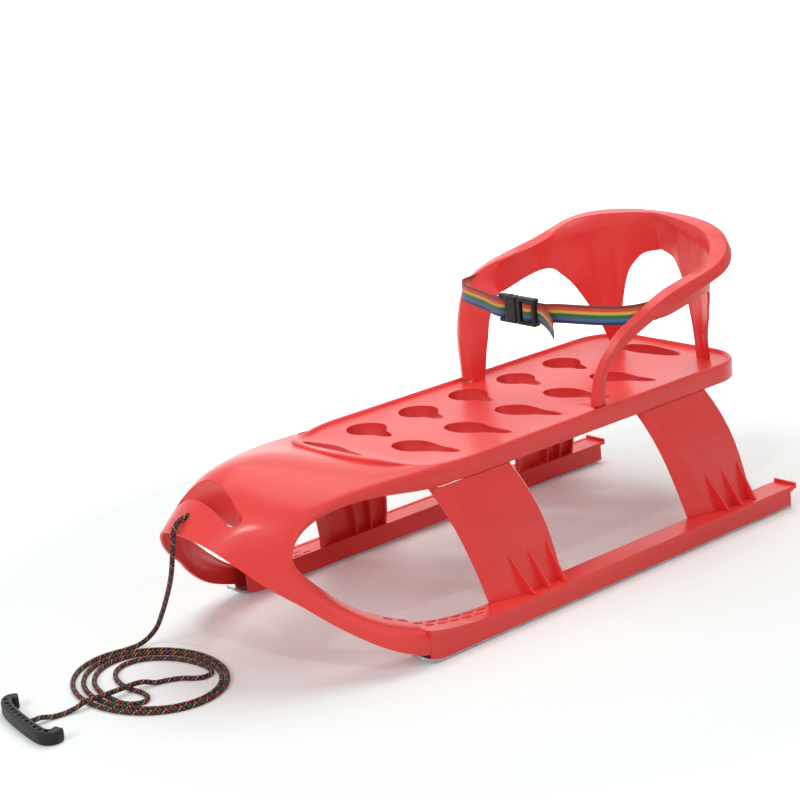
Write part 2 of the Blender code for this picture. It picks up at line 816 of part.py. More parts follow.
def make_steel():
    """Left strip of flat steel, curved up at the toe."""
    low, high = steel_span()
    bm = bmesh.new()
    rings = []
    front = [STEEL_FRONT_Y + (TOE_START_Y - STEEL_FRONT_Y) * k / 5
             for k in range(6)]
    for y in front + [STEEL_REAR_Y]:
        z = toe_rise(y)
        ring = [(low + 0.0006, z), (high - 0.0006, z),
                (high, z + 0.0006), (high, z + STEEL_THICK),
                (low, z + STEEL_THICK), (low, z + 0.0006)]
        rings.append([bm.verts.new((x, y, h)) for x, h in ring])
    grid_faces(bm, rings, closed=True)
    bm.faces.new(rings[0])
    bm.faces.new(rings[-1])
    strip = mesh_object("left_steel_runner", bm, STEEL)
    cuts = bmesh.new()
    for y in rivet_ys():
        turned(cuts, [(RIVET_HEAD_R + GAP + 0.0005, -0.0005),
                      (RIVET_SHANK_R + GAP, 0.0025),
                      (RIVET_SHANK_R + GAP, 0.01)],
               ((low + high) / 2, y, 0), 12)
    boolean(strip, mesh_object("countersink_guide", cuts), "DIFFERENCE")
    apply_modifiers(strip)
    return strip


def make_rivets(side, sign):
    """Countersunk rivets that hold one strip to its beam."""
    low, high = steel_span()
    for k, y in enumerate(rivet_ys(), 1):
        bm = bmesh.new()
        turned(bm, [(RIVET_HEAD_R, 0.0004), (RIVET_SHANK_R, 0.0027),
                    (RIVET_SHANK_R, RIVET_LENGTH)],
               (sign * (low + high) / 2, y, 0), 12)
        mesh_object(f"{side}_runner_rivet_{k}", bm, STEEL)


def make_runners():
    """Both runners, each with its strip and rivets."""
    mirrored(make_beam(), "right_runner_beam", CORAL)
    mirrored(make_steel(), "right_steel_runner", STEEL)
    make_rivets("left", 1)
    make_rivets("right", -1)


# Backrest

def seat(x, y, z):
    """A point of the backrest, from its own half width, rear and rise."""
    return Vector((x * BACK_HALF_WIDTH / 0.174,
                   DECK_REAR_Y - 0.021 - (0.400 - y) * BACK_DEPTH / 0.266,
                   DECK_TOP + (z - 0.202) * BACK_RISE / 0.192))


def backrest_stations():
    """Lip, rim, flange edge, mid wall and lower edge, back to foot."""
    foot = DECK_TOP + RIM_HEIGHT + GAP
    return [
        [(0, 0.405, 0.381), (0, 0.403, 0.394), (0, 0.390, 0.393),
         (0, 0.396, 0.366), (0, 0.402, 0.340)],
        [(0.030, 0.404, 0.381), (0.030, 0.402, 0.394), (0.029, 0.386, 0.392),
         (0.030, 0.390, 0.362), (0.030, 0.394, 0.333)],
        [(0.058, 0.403, 0.380), (0.057, 0.400, 0.393), (0.054, 0.379, 0.390),
         (0.053, 0.382, 0.350), (0.051, 0.385, 0.308)],
        [(0.104, 0.396, 0.376), (0.101, 0.393, 0.389), (0.090, 0.372, 0.386),
         (0.087, 0.374, 0.345), (0.085, 0.377, 0.300)],
        [(0.146, 0.376, 0.367), (0.142, 0.372, 0.380), (0.125, 0.354, 0.378),
         (0.123, 0.354, 0.335), (0.123, 0.350, 0.291)],
        [(0.169, 0.345, 0.346), (0.166, 0.342, 0.360), (0.143, 0.333, 0.359),
         (0.140, 0.332, 0.337), (0.138, 0.333, 0.314)],
        [(0.175, 0.297, 0.336), (0.172, 0.296, 0.350), (0.150, 0.292, 0.349),
         (0.149, 0.295, 0.331), (0.147, 0.299, 0.313)],
        [(0.175, 0.240, 0.325), (0.172, 0.232, 0.339), (0.154, 0.228, 0.342),
         (0.149, 0.234, 0.321), (0.144, 0.240, 0.301)],
        [(0.166, 0.201, 0.310), (0.168, 0.190, 0.322), (0.158, 0.184, 0.326),
         (0.144, 0.202, 0.315), (0.133, 0.219, 0.304)],
        [(0.147, 0.170, 0.284), (0.151, 0.160, 0.297), (0.141, 0.156, 0.301),
         (0.129, 0.172, 0.290), (0.120, 0.188, 0.280)],
        [(0.134, 0.149, 0.258), (0.137, 0.140, 0.263), (0.127, 0.136, 0.265),
         (0.117, 0.155, 0.260), (0.1115, 0.174, 0.254)],
        [(0.128, 0.145, 0.232), (0.130, 0.135, 0.234), (0.120, 0.130, 0.236),
         (0.111, 0.148, 0.236), (0.1085, 0.166, 0.236)],
        [(0.126, 0.146, foot), (0.127, 0.134, foot), (0.117, 0.127, foot),
         (0.110, 0.144, foot), (0.108, 0.160, foot)],
    ]


def pillar_point(u, v):
    """Point of a pillar: u across from the middle, v down to the deck."""
    inner = [(0.051, 0.385, 0.308), (0.058, 0.384, 0.276),
             (0.065, 0.384, 0.240), (0.066, 0.387, 0.2023)]
    middle = [(0.085, 0.377, 0.300), (0.085, 0.377, 0.272),
              (0.082, 0.379, 0.238), (0.078, 0.387, 0.2023)]
    outer = [(0.123, 0.350, 0.291), (0.114, 0.359, 0.268),
             (0.099, 0.372, 0.237), (0.090, 0.384, 0.2023)]
    at = []
    for rail_points in (inner, middle, outer):
        curve = smooth_curve(rail_points, 8)
        at.append(curve[round(v * (len(curve) - 1))])
    return (at[0] * (1 - u) * (1 - 2 * u) + at[1] * 4 * u * (1 - u)
            + at[2] * u * (2 * u - 1))


def fine_stations(steps):
    """The stations' rails resampled, with rounded folds."""
    stations = backrest_stations()
    rails = [smooth_curve([s[i] for s in stations], steps) for i in range(5)]
    rows = []
    for lip, rim, flange, mid, low in zip(*rails):
        rows.append([lip, rim.lerp(lip, 0.2), rim.lerp(flange, 0.1),
                     flange.lerp(rim, 0.1), flange.lerp(mid, 0.1), mid, low])
    return rows


def backrest_surface():
    """Right half of the moulding's visible skin."""
    steps = 3
    bm = bmesh.new()
    grid = [[bm.verts.new(seat(*co)) for co in row]
            for row in fine_stations(steps)]
    grid_faces(bm, grid)
    first, last = 2 * steps, 4 * steps
    down = 6
    for k in range(first, last + 1):
        grid[k] = [grid[k][-1]]
        u = (k - first) / (last - first)
        top = seat(*pillar_point(u, 0))
        shift = grid[k][0].co - top
        for v in range(1, down + 1):
            spot = seat(*pillar_point(u, v / down)) + shift * (1 - v / down)
            grid[k].append(bm.verts.new(spot))
    grid_faces(bm, grid[first:last + 1])
    bmesh.ops.recalc_face_normals(bm, faces=bm.faces)
    top = max(bm.faces, key=lambda f: f.calc_center_median().z)
    if top.normal.z < 0:
        bmesh.ops.reverse_faces(bm, faces=bm.faces)
    mesh = bpy.data.meshes.new("backrest")
    bm.to_mesh(mesh)
    bm.free()
    mesh.shade_smooth()
    mesh.set_sharp_from_angle(angle=math.radians(38))
    return add_object("backrest", mesh, BACK_CORAL)


def pillar_rib(side):
    """A flat raised band that stiffens a pillar."""
    bm = bmesh.new()
    rows = []
    for v in range(7):
        spot = seat(*pillar_point(0.42, v / 6))
        half = 0.012 - 0.005 * v / 6
        rows.append([(spot.x - half, spot.y - 0.0015, spot.z),
                     (spot.x + half, spot.y - 0.0035, spot.z),
                     (spot.x + half, spot.y + 0.0005, spot.z),
                     (spot.x - half, spot.y + 0.0015, spot.z)])
    head = seat(0.088, 0.3725, 0.384)
    rows.insert(0, [(head.x - 0.014, head.y - 0.0005, head.z),
                    (head.x + 0.012, head.y - 0.0060, head.z),
                    (head.x + 0.012, head.y + 0.0005, head.z),
                    (head.x - 0.014, head.y + 0.0015, head.z)])
    rings = [[bm.verts.new((side * x, y, z)) for x, y, z in row]
             for row in rows]
    grid_faces(bm, rings, closed=True)
    bm.faces.new(rings[0])
    bm.faces.new(rings[-1])
    return mesh_object(f"pillar_rib_guide_{side}", bm, smooth=False)


def make_backrest():
    """One thin moulding with tongues that plug into the deck."""
    back = backrest_surface()
    half = back.modifiers.new("mirror", "MIRROR")
    half.merge_threshold = 0.0001
    half.use_clip = True
    thick = back.modifiers.new("thick", "SOLIDIFY")
    thick.thickness = BACK_WALL
    thick.offset = -1.0
    thick.use_even_offset = True
    apply_modifiers(back)
    for side in (1, -1):
        boolean(back, pillar_rib(side), "UNION", "MANIFOLD")
    for i, (x, y, half_x, half_y) in enumerate(tongue_places()):
        shoulder = DECK_TOP + (0.012 if i % 2 == 0 else 0.006)
        tongue = box_guide(f"tongue_guide_{i}",
                           (x - half_x, y - half_y, DECK_TOP - TONGUE_DEPTH),
                           (x + half_x, y + half_y, shoulder))
        boolean(back, tongue, "UNION", "MANIFOLD")
    for sign in (1, -1):
        slot = ribbon(f"belt_slot_guide_{sign}", belt_run(sign)[:14], None,
                      WEB_WIDTH / 2 + GAP, WEB_THICK / 2 + GAP)
        boolean(back, slot, "DIFFERENCE", "MANIFOLD")
    apply_modifiers(back)
    return back


# Lap belt

def ribbon(name, path, material, half_width=WEB_WIDTH / 2,
           half_thick=WEB_THICK / 2):
    """Webbing that stands on edge along a path."""
    bm = bmesh.new()
    rings = []
    for i, point in enumerate(path):
        ahead = path[min(i + 1, len(path) - 1)]
        behind = path[max(i - 1, 0)]
        run = Vector((ahead.x - behind.x, ahead.y - behind.y, 0)).normalized()
        side = Vector((-run.y, run.x, 0)) * half_thick
        up = Vector((0, 0, half_width))
        rings.append([bm.verts.new(point + side + up),
                      bm.verts.new(point - side + up),
                      bm.verts.new(point - side - up),
                      bm.verts.new(point + side - up)])
    grid_faces(bm, rings, closed=True)
    bm.faces.new(rings[0])
    bm.faces.new(rings[-1])
    return mesh_object(name, bm, material)


def belt(points):
    """A belt path from (x, y, drop) around the buckle's own place."""
    return [Vector((x, BUCKLE_Y + y, BELT_Z + z)) for x, y, z in points]


def belt_run(sign):
    """One strap from its sewn end, through its slot, to the buckle."""
    end = [(0.1598, 0.076, 0.001), (0.1612, 0.084, 0.001),
           (0.1600, 0.0862, 0.001), (0.1580, 0.084, 0.001)]
    main = [(0.1566, 0.076, 0.001), (0.1545, 0.060, 0.001),
            (0.1470, 0.040, 0.002), (0.1260, 0.0225, 0.003),
            (0.0980, 0.0125, 0.003)]
    if sign > 0:
        main += [(0.0700, 0.0080, 0.002), (0.0440, 0.0046, 0.0)]
    else:
        main += [(0.0700, 0.0060, 0.002), (0.0460, -0.0005, 0.0)]
    return (belt([(sign * x, y, z) for x, y, z in end])
            + smooth_curve(belt([(sign * x, y, z) for x, y, z in main]), 2))


def make_belt():
    """Both straps; the left one turns back through the ladder bar."""
    wrap = [(-0.0330, -0.0034, 0), (-0.0270, -0.0034, 0),
            (-0.0246, -0.0022, 0), (-0.0236, 0.0, 0), (-0.0246, 0.0022, 0),
            (-0.0270, 0.0034, 0), (-0.0330, 0.0036, 0),
            (-0.0440, 0.0034, 0), (-0.0560, 0.0060, 0)]
    ribbon("strap_right", belt_run(-1) + belt(wrap), WEBBING)
    ladder = [(0.0240, 0.0038, 0), (0.0140, 0.0036, 0),
              (0.0108, 0.0024, 0), (0.0096, 0.0002, 0),
              (0.0106, -0.0020, 0), (0.0140, -0.0032, 0),
              (0.0200, -0.0030, 0), (0.0250, -0.0006, 0),
              (0.0285, 0.0010, 0), (0.0360, 0.0010, -0.001)]
    tail = [(0.0460, -0.0010, -0.003), (0.0600, -0.0060, -0.008),
            (0.0740, -0.0130, -0.014)]
    ribbon("strap_left", belt_run(1) + belt(ladder + tail), WEBBING)


def plate(bm, low, high):
    """A box in buckle space, added to a mesh."""
    corners = bmesh.ops.create_cube(bm, size=1.0)["verts"]
    for vert in corners:
        x, y, z = (high[i] if vert.co[i] > 0 else low[i] for i in range(3))
        vert.co = Vector((x, BUCKLE_Y + y, BELT_Z + z))


def block(name, low, high, material=None):
    """One box in buckle space."""
    bm = bmesh.new()
    plate(bm, low, high)
    return mesh_object(name, bm, material, smooth=False)


def make_buckle():
    """Side-release buckle: socket with a strap bar, and the plug."""
    tall = BUCKLE_HEIGHT / 2
    thick = BUCKLE_THICK / 2
    rail_z = WEB_WIDTH / 2 + 0.001
    socket = block("buckle_female", (-BUCKLE_LENGTH, -thick, -tall),
                   (0, thick, tall), BLACK)
    edge = socket.modifiers.new("edge", "BEVEL")
    edge.width = 0.0025
    edge.segments = 2
    boolean(socket, block("cavity", (-BUCKLE_LENGTH + 0.002, -0.0036, -0.0152),
                          (0.01, 0.0036, 0.0152)), "DIFFERENCE")
    boolean(socket, block("windows", (-0.0165, -0.0030, -tall - 0.01),
                          (-0.0060, 0.0030, tall + 0.01)), "DIFFERENCE")
    frame = block("frame", (-0.0325, -0.0032, -tall),
                  (-BUCKLE_LENGTH + 0.001, 0.0032, tall))
    boolean(socket, frame, "UNION")
    for i, (low, high) in enumerate((
            ((-0.0280, -0.01, -rail_z), (-BUCKLE_LENGTH, 0.01, rail_z)),
            ((-0.0400, -0.01, -rail_z), (-0.0325 + 0.0002, 0.01, rail_z)))):
        boolean(socket, block(f"frame_gap_{i}", low, high), "DIFFERENCE")
    for i, (low, high) in enumerate(((-0.01, -BAR_HALF), (BAR_HALF, 0.01))):
        boolean(socket, block(f"bar_side_{i}", (-0.04, low, -rail_z),
                              (-0.0275, high, rail_z)), "DIFFERENCE")
    apply_modifiers(socket)
    plug = block("buckle_male", (0.0012, -thick, -tall),
                 (0.0340, thick - 0.0010, tall), BLACK)
    edge = plug.modifiers.new("edge", "BEVEL")
    edge.width = 0.0022
    edge.segments = 2
    boolean(plug, block("window", (0.0078, -0.02, -rail_z),
                        (0.0290, 0.02, rail_z)), "DIFFERENCE")
    boolean(plug, block("tail_room", (0.0200, -0.0006, -rail_z),
                        (0.0400, 0.02, rail_z)), "DIFFERENCE")
    boolean(plug, block("ladder_bar", (0.0125, -0.0016, -rail_z - 0.001),
                        (0.0188, 0.0022, rail_z + 0.001)), "UNION")
    prongs = bmesh.new()
    for low, high in (((-0.0165, -0.0026, 0.0095), (0.0030, 0.0026, 0.0128)),
                      ((-0.0165, -0.0026, -0.0128), (0.0030, 0.0026, -0.0095)),
                      ((-0.0150, -0.0026, -0.0025), (0.0030, 0.0026, 0.0025)),
                      ((-0.0155, -0.0025, 0.0115), (-0.0070, 0.0025, 0.0146)),
                      ((-0.0155, -0.0025, -0.0146), (-0.0070, 0.0025, -0.0115))):
        plate(prongs, low, high)
    prongs_guide = mesh_object("prongs_guide", prongs, smooth=False)
    boolean(plug, prongs_guide, "UNION").use_self = True
    apply_modifiers(plug)


# Tow rope

def even_points(points, spacing):
    """Points at even spacing along a smooth curve."""
    fine = smooth_curve(points, 12)
    lengths = [0.0]
    for a, b in zip(fine, fine[1:]):
        lengths.append(lengths[-1] + (b - a).length)
    count = max(2, round(lengths[-1] / spacing))
    result = []
    k = 0
    for i in range(count + 1):
        target = lengths[-1] * i / count
        while k < len(fine) - 2 and lengths[k + 1] < target:
            k += 1
        span = lengths[k + 1] - lengths[k]
        result.append(fine[k].lerp(fine[k + 1], (target - lengths[k]) / span))
    return result


def rope_tube(name, points, resolution):
    """A round tube with flat ends along the points."""
    curve = bpy.data.curves.new(name, "CURVE")
    curve.dimensions = "3D"
    curve.bevel_depth = ROPE_R
    curve.bevel_resolution = resolution
    curve.use_fill_caps = True
    spline = curve.splines.new("POLY")
    spline.points.add(len(points) - 1)
    for target, point in zip(spline.points, points):
        target.co = (*point, 1.0)
    return add_object(name, curve, ROPE)


def coil_point(degrees):
    """The coil's centre line at an angle about its middle."""
    turn = (degrees - COIL_FROM) / 360
    angle = math.radians(degrees)
    middle = COIL_CENTRE + COIL_DRIFT * turn
    return Vector((middle.x + (COIL_X - COIL_SHRINK_X * turn) * math.cos(angle),
                   middle.y + (COIL_Y - COIL_SHRINK_Y * turn) * math.sin(angle),
                   FLOOR_Z))


def coil_points():
    """Loops that close in by a little more than the rope each turn."""
    count = round(COIL_TURN / 15)
    points = [coil_point(COIL_FROM + COIL_TURN * k / count)
              for k in range(count + 1)]
    first = (coil_point(COIL_FROM + 1) - points[0]).normalized()
    last = (points[-1] - coil_point(COIL_FROM + COIL_TURN - 1)).normalized()
    points.insert(1, points[0] + first * 2 * ROPE_R)
    points.insert(-1, points[-1] - last * 2 * ROPE_R)
    return points


def self_gap(points):
    """Least distance between the surfaces of neighbouring loops."""
    fine = [a.lerp(b, k / 4) for a, b in zip(points, points[1:])
            for k in range(4)]
    least = 1.0
    for i, a in enumerate(fine):
        for b in fine[i + 48:]:
            least = min(least, (a - b).length)
    return least - 2 * ROPE_R


def lead_points():
    """From the stop knot through the nose and down to the coil."""
    start = coil_point(COIL_FROM)
    run = (coil_point(COIL_FROM + 1) - start).normalized()
    hang = [(0, 0.0265, 0), (0, 0.0200, 0.0001), (0, 0.0140, 0),
            (0, 0.0078, -0.0015), (0, 0.0020, -0.0050),
            (0, -0.0024, -0.0110), (0, -0.0044, -0.0190)]
    points = [Vector((x, NOSE_Y + y, ROPE_Z + z)) for x, y, z in hang]
    fall = [(-0.0010, -0.4345, 0.1760), (-0.0060, -0.4340, 0.1600),
            (-0.0150, -0.4315, 0.1400), (-0.0300, -0.4260, 0.1190),
            (-0.0480, -0.4190, 0.1000), (-0.0720, -0.4100, 0.0760),
            (-0.0960, -0.4020, 0.0520), (-0.1180, -0.3970, 0.0290),
            (-0.1330, -0.4010, 0.0130), (-0.1405, -0.4120, 0.0050)]
    points += [Vector((x, y - 0.430 - NOSE_Y, z)) for x, y, z in fall]
    end = start - run * GAP
    points += [end - run * 0.0060, end]
    return even_points(points, 0.008)


def tail_points():
    """From the coil, around a small bight and over it to the handle."""
    start = coil_point(COIL_FROM + COIL_TURN)
    run = (start - coil_point(COIL_FROM + COIL_TURN - 1)).normalized()
    start = start + run * GAP
    over = FLOOR_Z + 2 * ROPE_R + 0.0008
    route = [(-0.034, -0.5205, 0), (-0.016, -0.5195, 0), (-0.003, -0.512, 0),
             (0.001, -0.501, 0), (-0.007, -0.491, 0), (-0.022, -0.4885, 0),
             (-0.042, -0.4910, 0), (-0.062, -0.4900, 0), (-0.084, -0.4830, 0),
             (-0.101, -0.470, 0), (-0.108, -0.452, 0), (-0.103, -0.432, 0),
             (-0.087, -0.415, 0), (-0.065, -0.403, 0), (-0.040, -0.397, 0),
             (-0.018, -0.397, 0), (-0.003, -0.403, 0), (0.001, -0.415, 0),
             (-0.006, -0.426, 0), (-0.018, -0.435, 0), (-0.027, -0.449, 0),
             (-0.032, -0.463, 0.1), (-0.035, -0.476, 0.8), (-0.037, -0.490, 1),
             (-0.038, -0.515, 1), (-0.040, -0.537, 1), (-0.042, -0.552, 0.95),
             (-0.044, -0.564, 0.35), (-0.047, -0.578, 0),
             (-0.049, -0.592, 0.1), (-0.051, -0.606, 0.6)]
    points = [start, start + run * 0.006]
    points += [Vector((x, y, FLOOR_Z + (over - FLOOR_Z) * h))
               for x, y, h in route]
    middle, face = handle_middle()
    reach = HANDLE_WIDTH / 2 + 2 * GAP
    points += [middle + face * (reach + 0.006), middle + face * reach]
    return even_points(points, 0.0105)


def handle_path():
    """Centre line of the bowed handle, lying on the snow."""
    plan = [(0.004, -0.6145), (0.0065, -0.626), (-0.003, -0.6330),
            (-0.024, -0.6325), (-0.051, -0.629), (-0.081, -0.624),
            (-0.104, -0.6175), (-0.115, -0.608), (-0.1105, -0.598)]
    return [Vector((x, y, HANDLE_HEIGHT / 2 + 0.0003)) for x, y in plan]


def handle_middle():
    """Middle of the handle and the way that its hollow side faces."""
    return handle_path()[4], Vector((0.15, 0.9887, 0))


def make_handle():
    """Bowed grip with finger ribs in a channel along its top."""
    path = smooth_curve(handle_path(), 3)
    bm = bmesh.new()
    rings = []
    half = HANDLE_WIDTH / 2
    tall = HANDLE_HEIGHT / 2
    for i, point in enumerate(path):
        ahead = path[min(i + 1, len(path) - 1)]
        behind = path[max(i - 1, 0)]
        run = (ahead - behind).normalized()
        side = Vector((-run.y, run.x, 0))
        ring = []
        for across, height in ((1, 0.5), (0.7, 1), (-0.7, 1), (-1, 0.5),
                               (-1, -0.5), (-0.7, -1), (0.7, -1), (1, -0.5)):
            ring.append(bm.verts.new(point + side * half * across
                                     + Vector((0, 0, tall * height))))
        rings.append(ring)
    grid_faces(bm, rings, closed=True)
    bm.faces.new(rings[0])
    bm.faces.new(rings[-1])
    handle = mesh_object("pull_handle", bm, BLACK)
    notches = bmesh.new()
    for k in range(6, len(path) - 6, 2):
        run = (path[k + 1] - path[k - 1]).normalized()
        side = Vector((-run.y, run.x, 0))
        rows = []
        for step in (-0.0022, 0.0022):
            centre = path[k] + run * step
            rows.append([notches.verts.new(centre + side * across
                                           + Vector((0, 0, height)))
                         for across, height in ((-0.0035, tall - 0.0025),
                                                (0.0035, tall - 0.0025),
                                                (0.0035, tall + 0.002),
                                                (-0.0035, tall + 0.002))])
        grid_faces(notches, rows, closed=True)
        notches.faces.new(rows[0])
        notches.faces.new(rows[1])
    boolean(handle, mesh_object("notch_guide", notches, smooth=False),
            "DIFFERENCE")
    apply_modifiers(handle)


def make_knot():
    """Stop knot that holds the rope behind the nose's wall."""
    bm = bmesh.new()
    profile = [(ROPE_R * 0.4, -0.0045), (ROPE_R * 1.3, -0.0040),
               (ROPE_R * 1.7, -0.0020), (ROPE_R * 1.75, 0.0012),
               (ROPE_R * 1.65, 0.0031), (ROPE_R * 1.3, 0.0049),
               (ROPE_R, 0.0056), (ROPE_R, 0.0078)]
    turned(bm, profile, (0, 0, 0), 14)
    bmesh.ops.rotate(bm, verts=bm.verts, cent=(0, 0, 0),
                     matrix=Matrix.Rotation(math.radians(90), 3, "X"))
    back = NOSE_Y + 0.0265 + GAP + 0.0078
    bmesh.ops.translate(bm, verts=bm.verts, vec=(0, back, ROPE_Z))
    mesh_object("rope_stop_knot", bm, ROPE)


def make_rope():
    """Rope in three lengths, its stop knot and the handle."""
    rope_tube("tow_rope_lead", lead_points(), 2)
    coil = coil_points()
    print(f"least gap between the coil's loops: {self_gap(coil) * 1000:.2f} mm")
    rope_tube("tow_rope_coil", coil, 1)
    rope_tube("tow_rope_tail", tail_points(), 1)
    make_knot()
    make_handle()


make_deck()
make_nose()
make_legs()
make_runners()
make_backrest()
make_belt()
make_buckle()
make_rope()
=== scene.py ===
"""Looks of the plastic sled: plastics, steel, belt, rope and handle.

Everything is in metres in the CAD's own frame, but for the lists of points
that metres() reads: the sled points along -Y and the rider's left is +X.
"""
import math

import bmesh
import bpy
from mathutils import Matrix, Vector
from mathutils.bvhtree import BVHTree


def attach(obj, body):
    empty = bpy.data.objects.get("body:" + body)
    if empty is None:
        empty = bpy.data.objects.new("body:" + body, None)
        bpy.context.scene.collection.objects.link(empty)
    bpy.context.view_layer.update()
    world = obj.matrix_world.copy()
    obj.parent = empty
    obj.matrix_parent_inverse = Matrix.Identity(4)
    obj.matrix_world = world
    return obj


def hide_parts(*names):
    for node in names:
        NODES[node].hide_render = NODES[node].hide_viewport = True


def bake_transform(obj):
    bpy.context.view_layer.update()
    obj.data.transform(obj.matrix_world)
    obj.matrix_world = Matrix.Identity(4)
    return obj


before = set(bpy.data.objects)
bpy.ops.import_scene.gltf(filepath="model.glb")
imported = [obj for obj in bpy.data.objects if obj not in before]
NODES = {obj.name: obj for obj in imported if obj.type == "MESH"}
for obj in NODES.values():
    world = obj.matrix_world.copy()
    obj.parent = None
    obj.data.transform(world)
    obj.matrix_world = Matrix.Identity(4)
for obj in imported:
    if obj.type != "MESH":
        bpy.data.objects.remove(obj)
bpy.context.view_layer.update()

# Places repeated from the CAD
DECK_TOP = 0.202
NOSE_Y = -0.43
ROPE_R = 0.003
FLOOR_Z = ROPE_R + 0.0001
ROPE_Z = DECK_TOP - 0.0025
ROPE_HOLE_Y = NOSE_Y + 0.0205
KNOT_Y = NOSE_Y + 0.0391
KNOT_LENGTH = 0.0088
KNOT_R = 0.0029
KNOT_TURNS = 2.6
COIL_CENTRE = Vector((-0.045, -0.46))
COIL_X = 0.106
COIL_Y = 0.087
COIL_SHRINK_X = 0.01
COIL_SHRINK_Y = 0.0096
COIL_DRIFT = Vector((0.0018, 0.0022))
COIL_FROM = 165
COIL_TURN = 810
COIL_LEAD = 0.0063
HANDLE_WIDTH = 0.013
HANDLE_HEIGHT = 0.016
HANDLE_PLAIN = 0.016
HANDLE_RIB_PITCH = 0.0105
BUCKLE_Y = 0.128
BELT_Z = 0.3185
WEB_WIDTH = 0.025
WEB_THICK = 0.0016
SELVEDGE = 0.0009
GAP = 0.0003


# Camera, from points of the photograph matched with the CAD

AZIMUTH = math.radians(50.17)
ELEVATION = math.radians(16.15)
ROLL = math.radians(-5.31)
FOCAL_PIXELS = 2095.26
PICTURE = 800
DISTANCE = 2.68982
SHIFT_X = 0.08413
SHIFT_Z = -0.22089


def make_camera():
    """The photograph's camera, roll included."""
    back = Vector((math.sin(AZIMUTH) * math.cos(ELEVATION),
                   -math.cos(AZIMUTH) * math.cos(ELEVATION),
                   math.sin(ELEVATION)))
    right = (-back).cross(Vector((0, 0, 1))).normalized()
    up = right.cross(-back)
    side = right * math.cos(ROLL) + up * math.sin(ROLL)
    top = up * math.cos(ROLL) - right * math.sin(ROLL)
    place = -(side * SHIFT_X + top * SHIFT_Z - back * DISTANCE)
    data = bpy.data.cameras.new("camera")
    data.sensor_width = 36
    data.lens = 36 * FOCAL_PIXELS / PICTURE
    camera = bpy.data.objects.new("camera", data)
    bpy.context.scene.collection.objects.link(camera)
    camera.matrix_world = Matrix((
        (side.x, top.x, back.x, place.x), (side.y, top.y, back.y, place.y),
        (side.z, top.z, back.z, place.z), (0, 0, 0, 1)))
    bpy.context.scene.camera = camera

make_camera()


# Materials


class Nodes:
    """Small helper around the node tree of a material or the world."""

    def __init__(self, name, group=bpy.data.materials):
        self.owner = group.new(name)
        self.owner.use_nodes = True
        self.tree = self.owner.node_tree

    def add(self, kind, **values):
        """A new shader node with the given socket values."""
        node = self.tree.nodes.new("ShaderNode" + kind)
        for key, value in values.items():
            node.inputs[key.replace("_", " ")].default_value = value
        return node

    def link(self, source, target):
        """A link between two sockets."""
        self.tree.links.new(source, target)

    def fill(self, node, *values):
        """A node's sockets in order, from numbers and other sockets."""
        for socket, value in zip(node.inputs, values):
            if isinstance(value, (int, float)):
                socket.default_value = value
            else:
                self.link(value, socket)
        return node.outputs[0]

    def math(self, operation, *values):
        """A Math node; numbers and sockets both go in."""
        node = self.add("Math")
        node.operation = operation
        return self.fill(node, *values)

    def ramp(self, fac, stops, mode="LINEAR"):
        """A Color Ramp with the given (place, colour) stops."""
        node = self.add("ValToRGB")
        ramp = node.color_ramp
        ramp.interpolation = mode
        while len(ramp.elements) > 1:
            ramp.elements.remove(ramp.elements[-1])
        ramp.elements[0].position = stops[0][0]
        ramp.elements[0].color = (*stops[0][1], 1)
        for place, colour in stops[1:]:
            ramp.elements.new(place).color = (*colour, 1)
        self.link(fac, node.inputs["Fac"])
        return node.outputs["Color"]

    def spread(self, value, low, high, to_low, to_high):
        """A Map Range node, clamped."""
        node = self.add("MapRange", From_Min=low, From_Max=high,
                        To_Min=to_low, To_Max=to_high)
        self.link(value, node.inputs["Value"])
        return node.outputs["Result"]

    def mix(self, fac, a, b):
        """A colour mix; a and b are colours or sockets."""
        node = self.add("Mix")
        node.data_type = "RGBA"
        self.link(fac, node.inputs[0])
        for socket, value in ((node.inputs[6], a), (node.inputs[7], b)):
            if isinstance(value, tuple):
                socket.default_value = (*value, 1)
            else:
                self.link(value, socket)
        return node.outputs[2]

    def place(self, scale=(1, 1, 1)):
        """Object coordinates, stretched."""
        where = self.add("TexCoord")
        mapping = self.add("Mapping", Scale=scale)
        self.link(where.outputs["Object"], mapping.inputs["Vector"])
        return mapping.outputs["Vector"]

    def weave(self):
        """Metres along a cord or strap, and share around or across it."""
        uv = self.add("UVMap")
        uv.uv_map = "weave"
        split = self.add("SeparateXYZ")
        self.link(uv.outputs["UV"], split.inputs["Vector"])
        return split.outputs["X"], split.outputs["Y"]

    def noise(self, vector, scale, detail, roughness):
        """A Noise Texture's value."""
        node = self.add("TexNoise", Scale=scale, Detail=detail,
                        Roughness=roughness)
        self.link(vector, node.inputs["Vector"])
        return node.outputs["Fac"]

    def bump(self, height, strength, distance, normal=None):
        """A Bump node's normal, on top of another if one is given."""
        node = self.add("Bump", Strength=strength, Distance=distance)
        self.link(height, node.inputs["Height"])
        if normal is not None:
            self.link(normal, node.inputs["Normal"])
        return node.outputs["Normal"]

    def seen_rays(self):
        """1 on camera, glossy and transmission rays, 0 on the others."""
        path = self.add("LightPath").outputs
        return self.math("MAXIMUM", path["Is Transmission Ray"],
                         self.math("MAXIMUM", path["Is Camera Ray"],
                                   path["Is Glossy Ray"]))

    def set(self, **values):
        """Fixed values or sockets for the shader's own inputs."""
        shader = self.tree.nodes["Principled BSDF"]
        for key, value in values.items():
            socket = shader.inputs[key.replace("_", " ")]
            if hasattr(value, "node"):
                self.link(value, socket)
            else:
                socket.default_value = value
        return self.owner


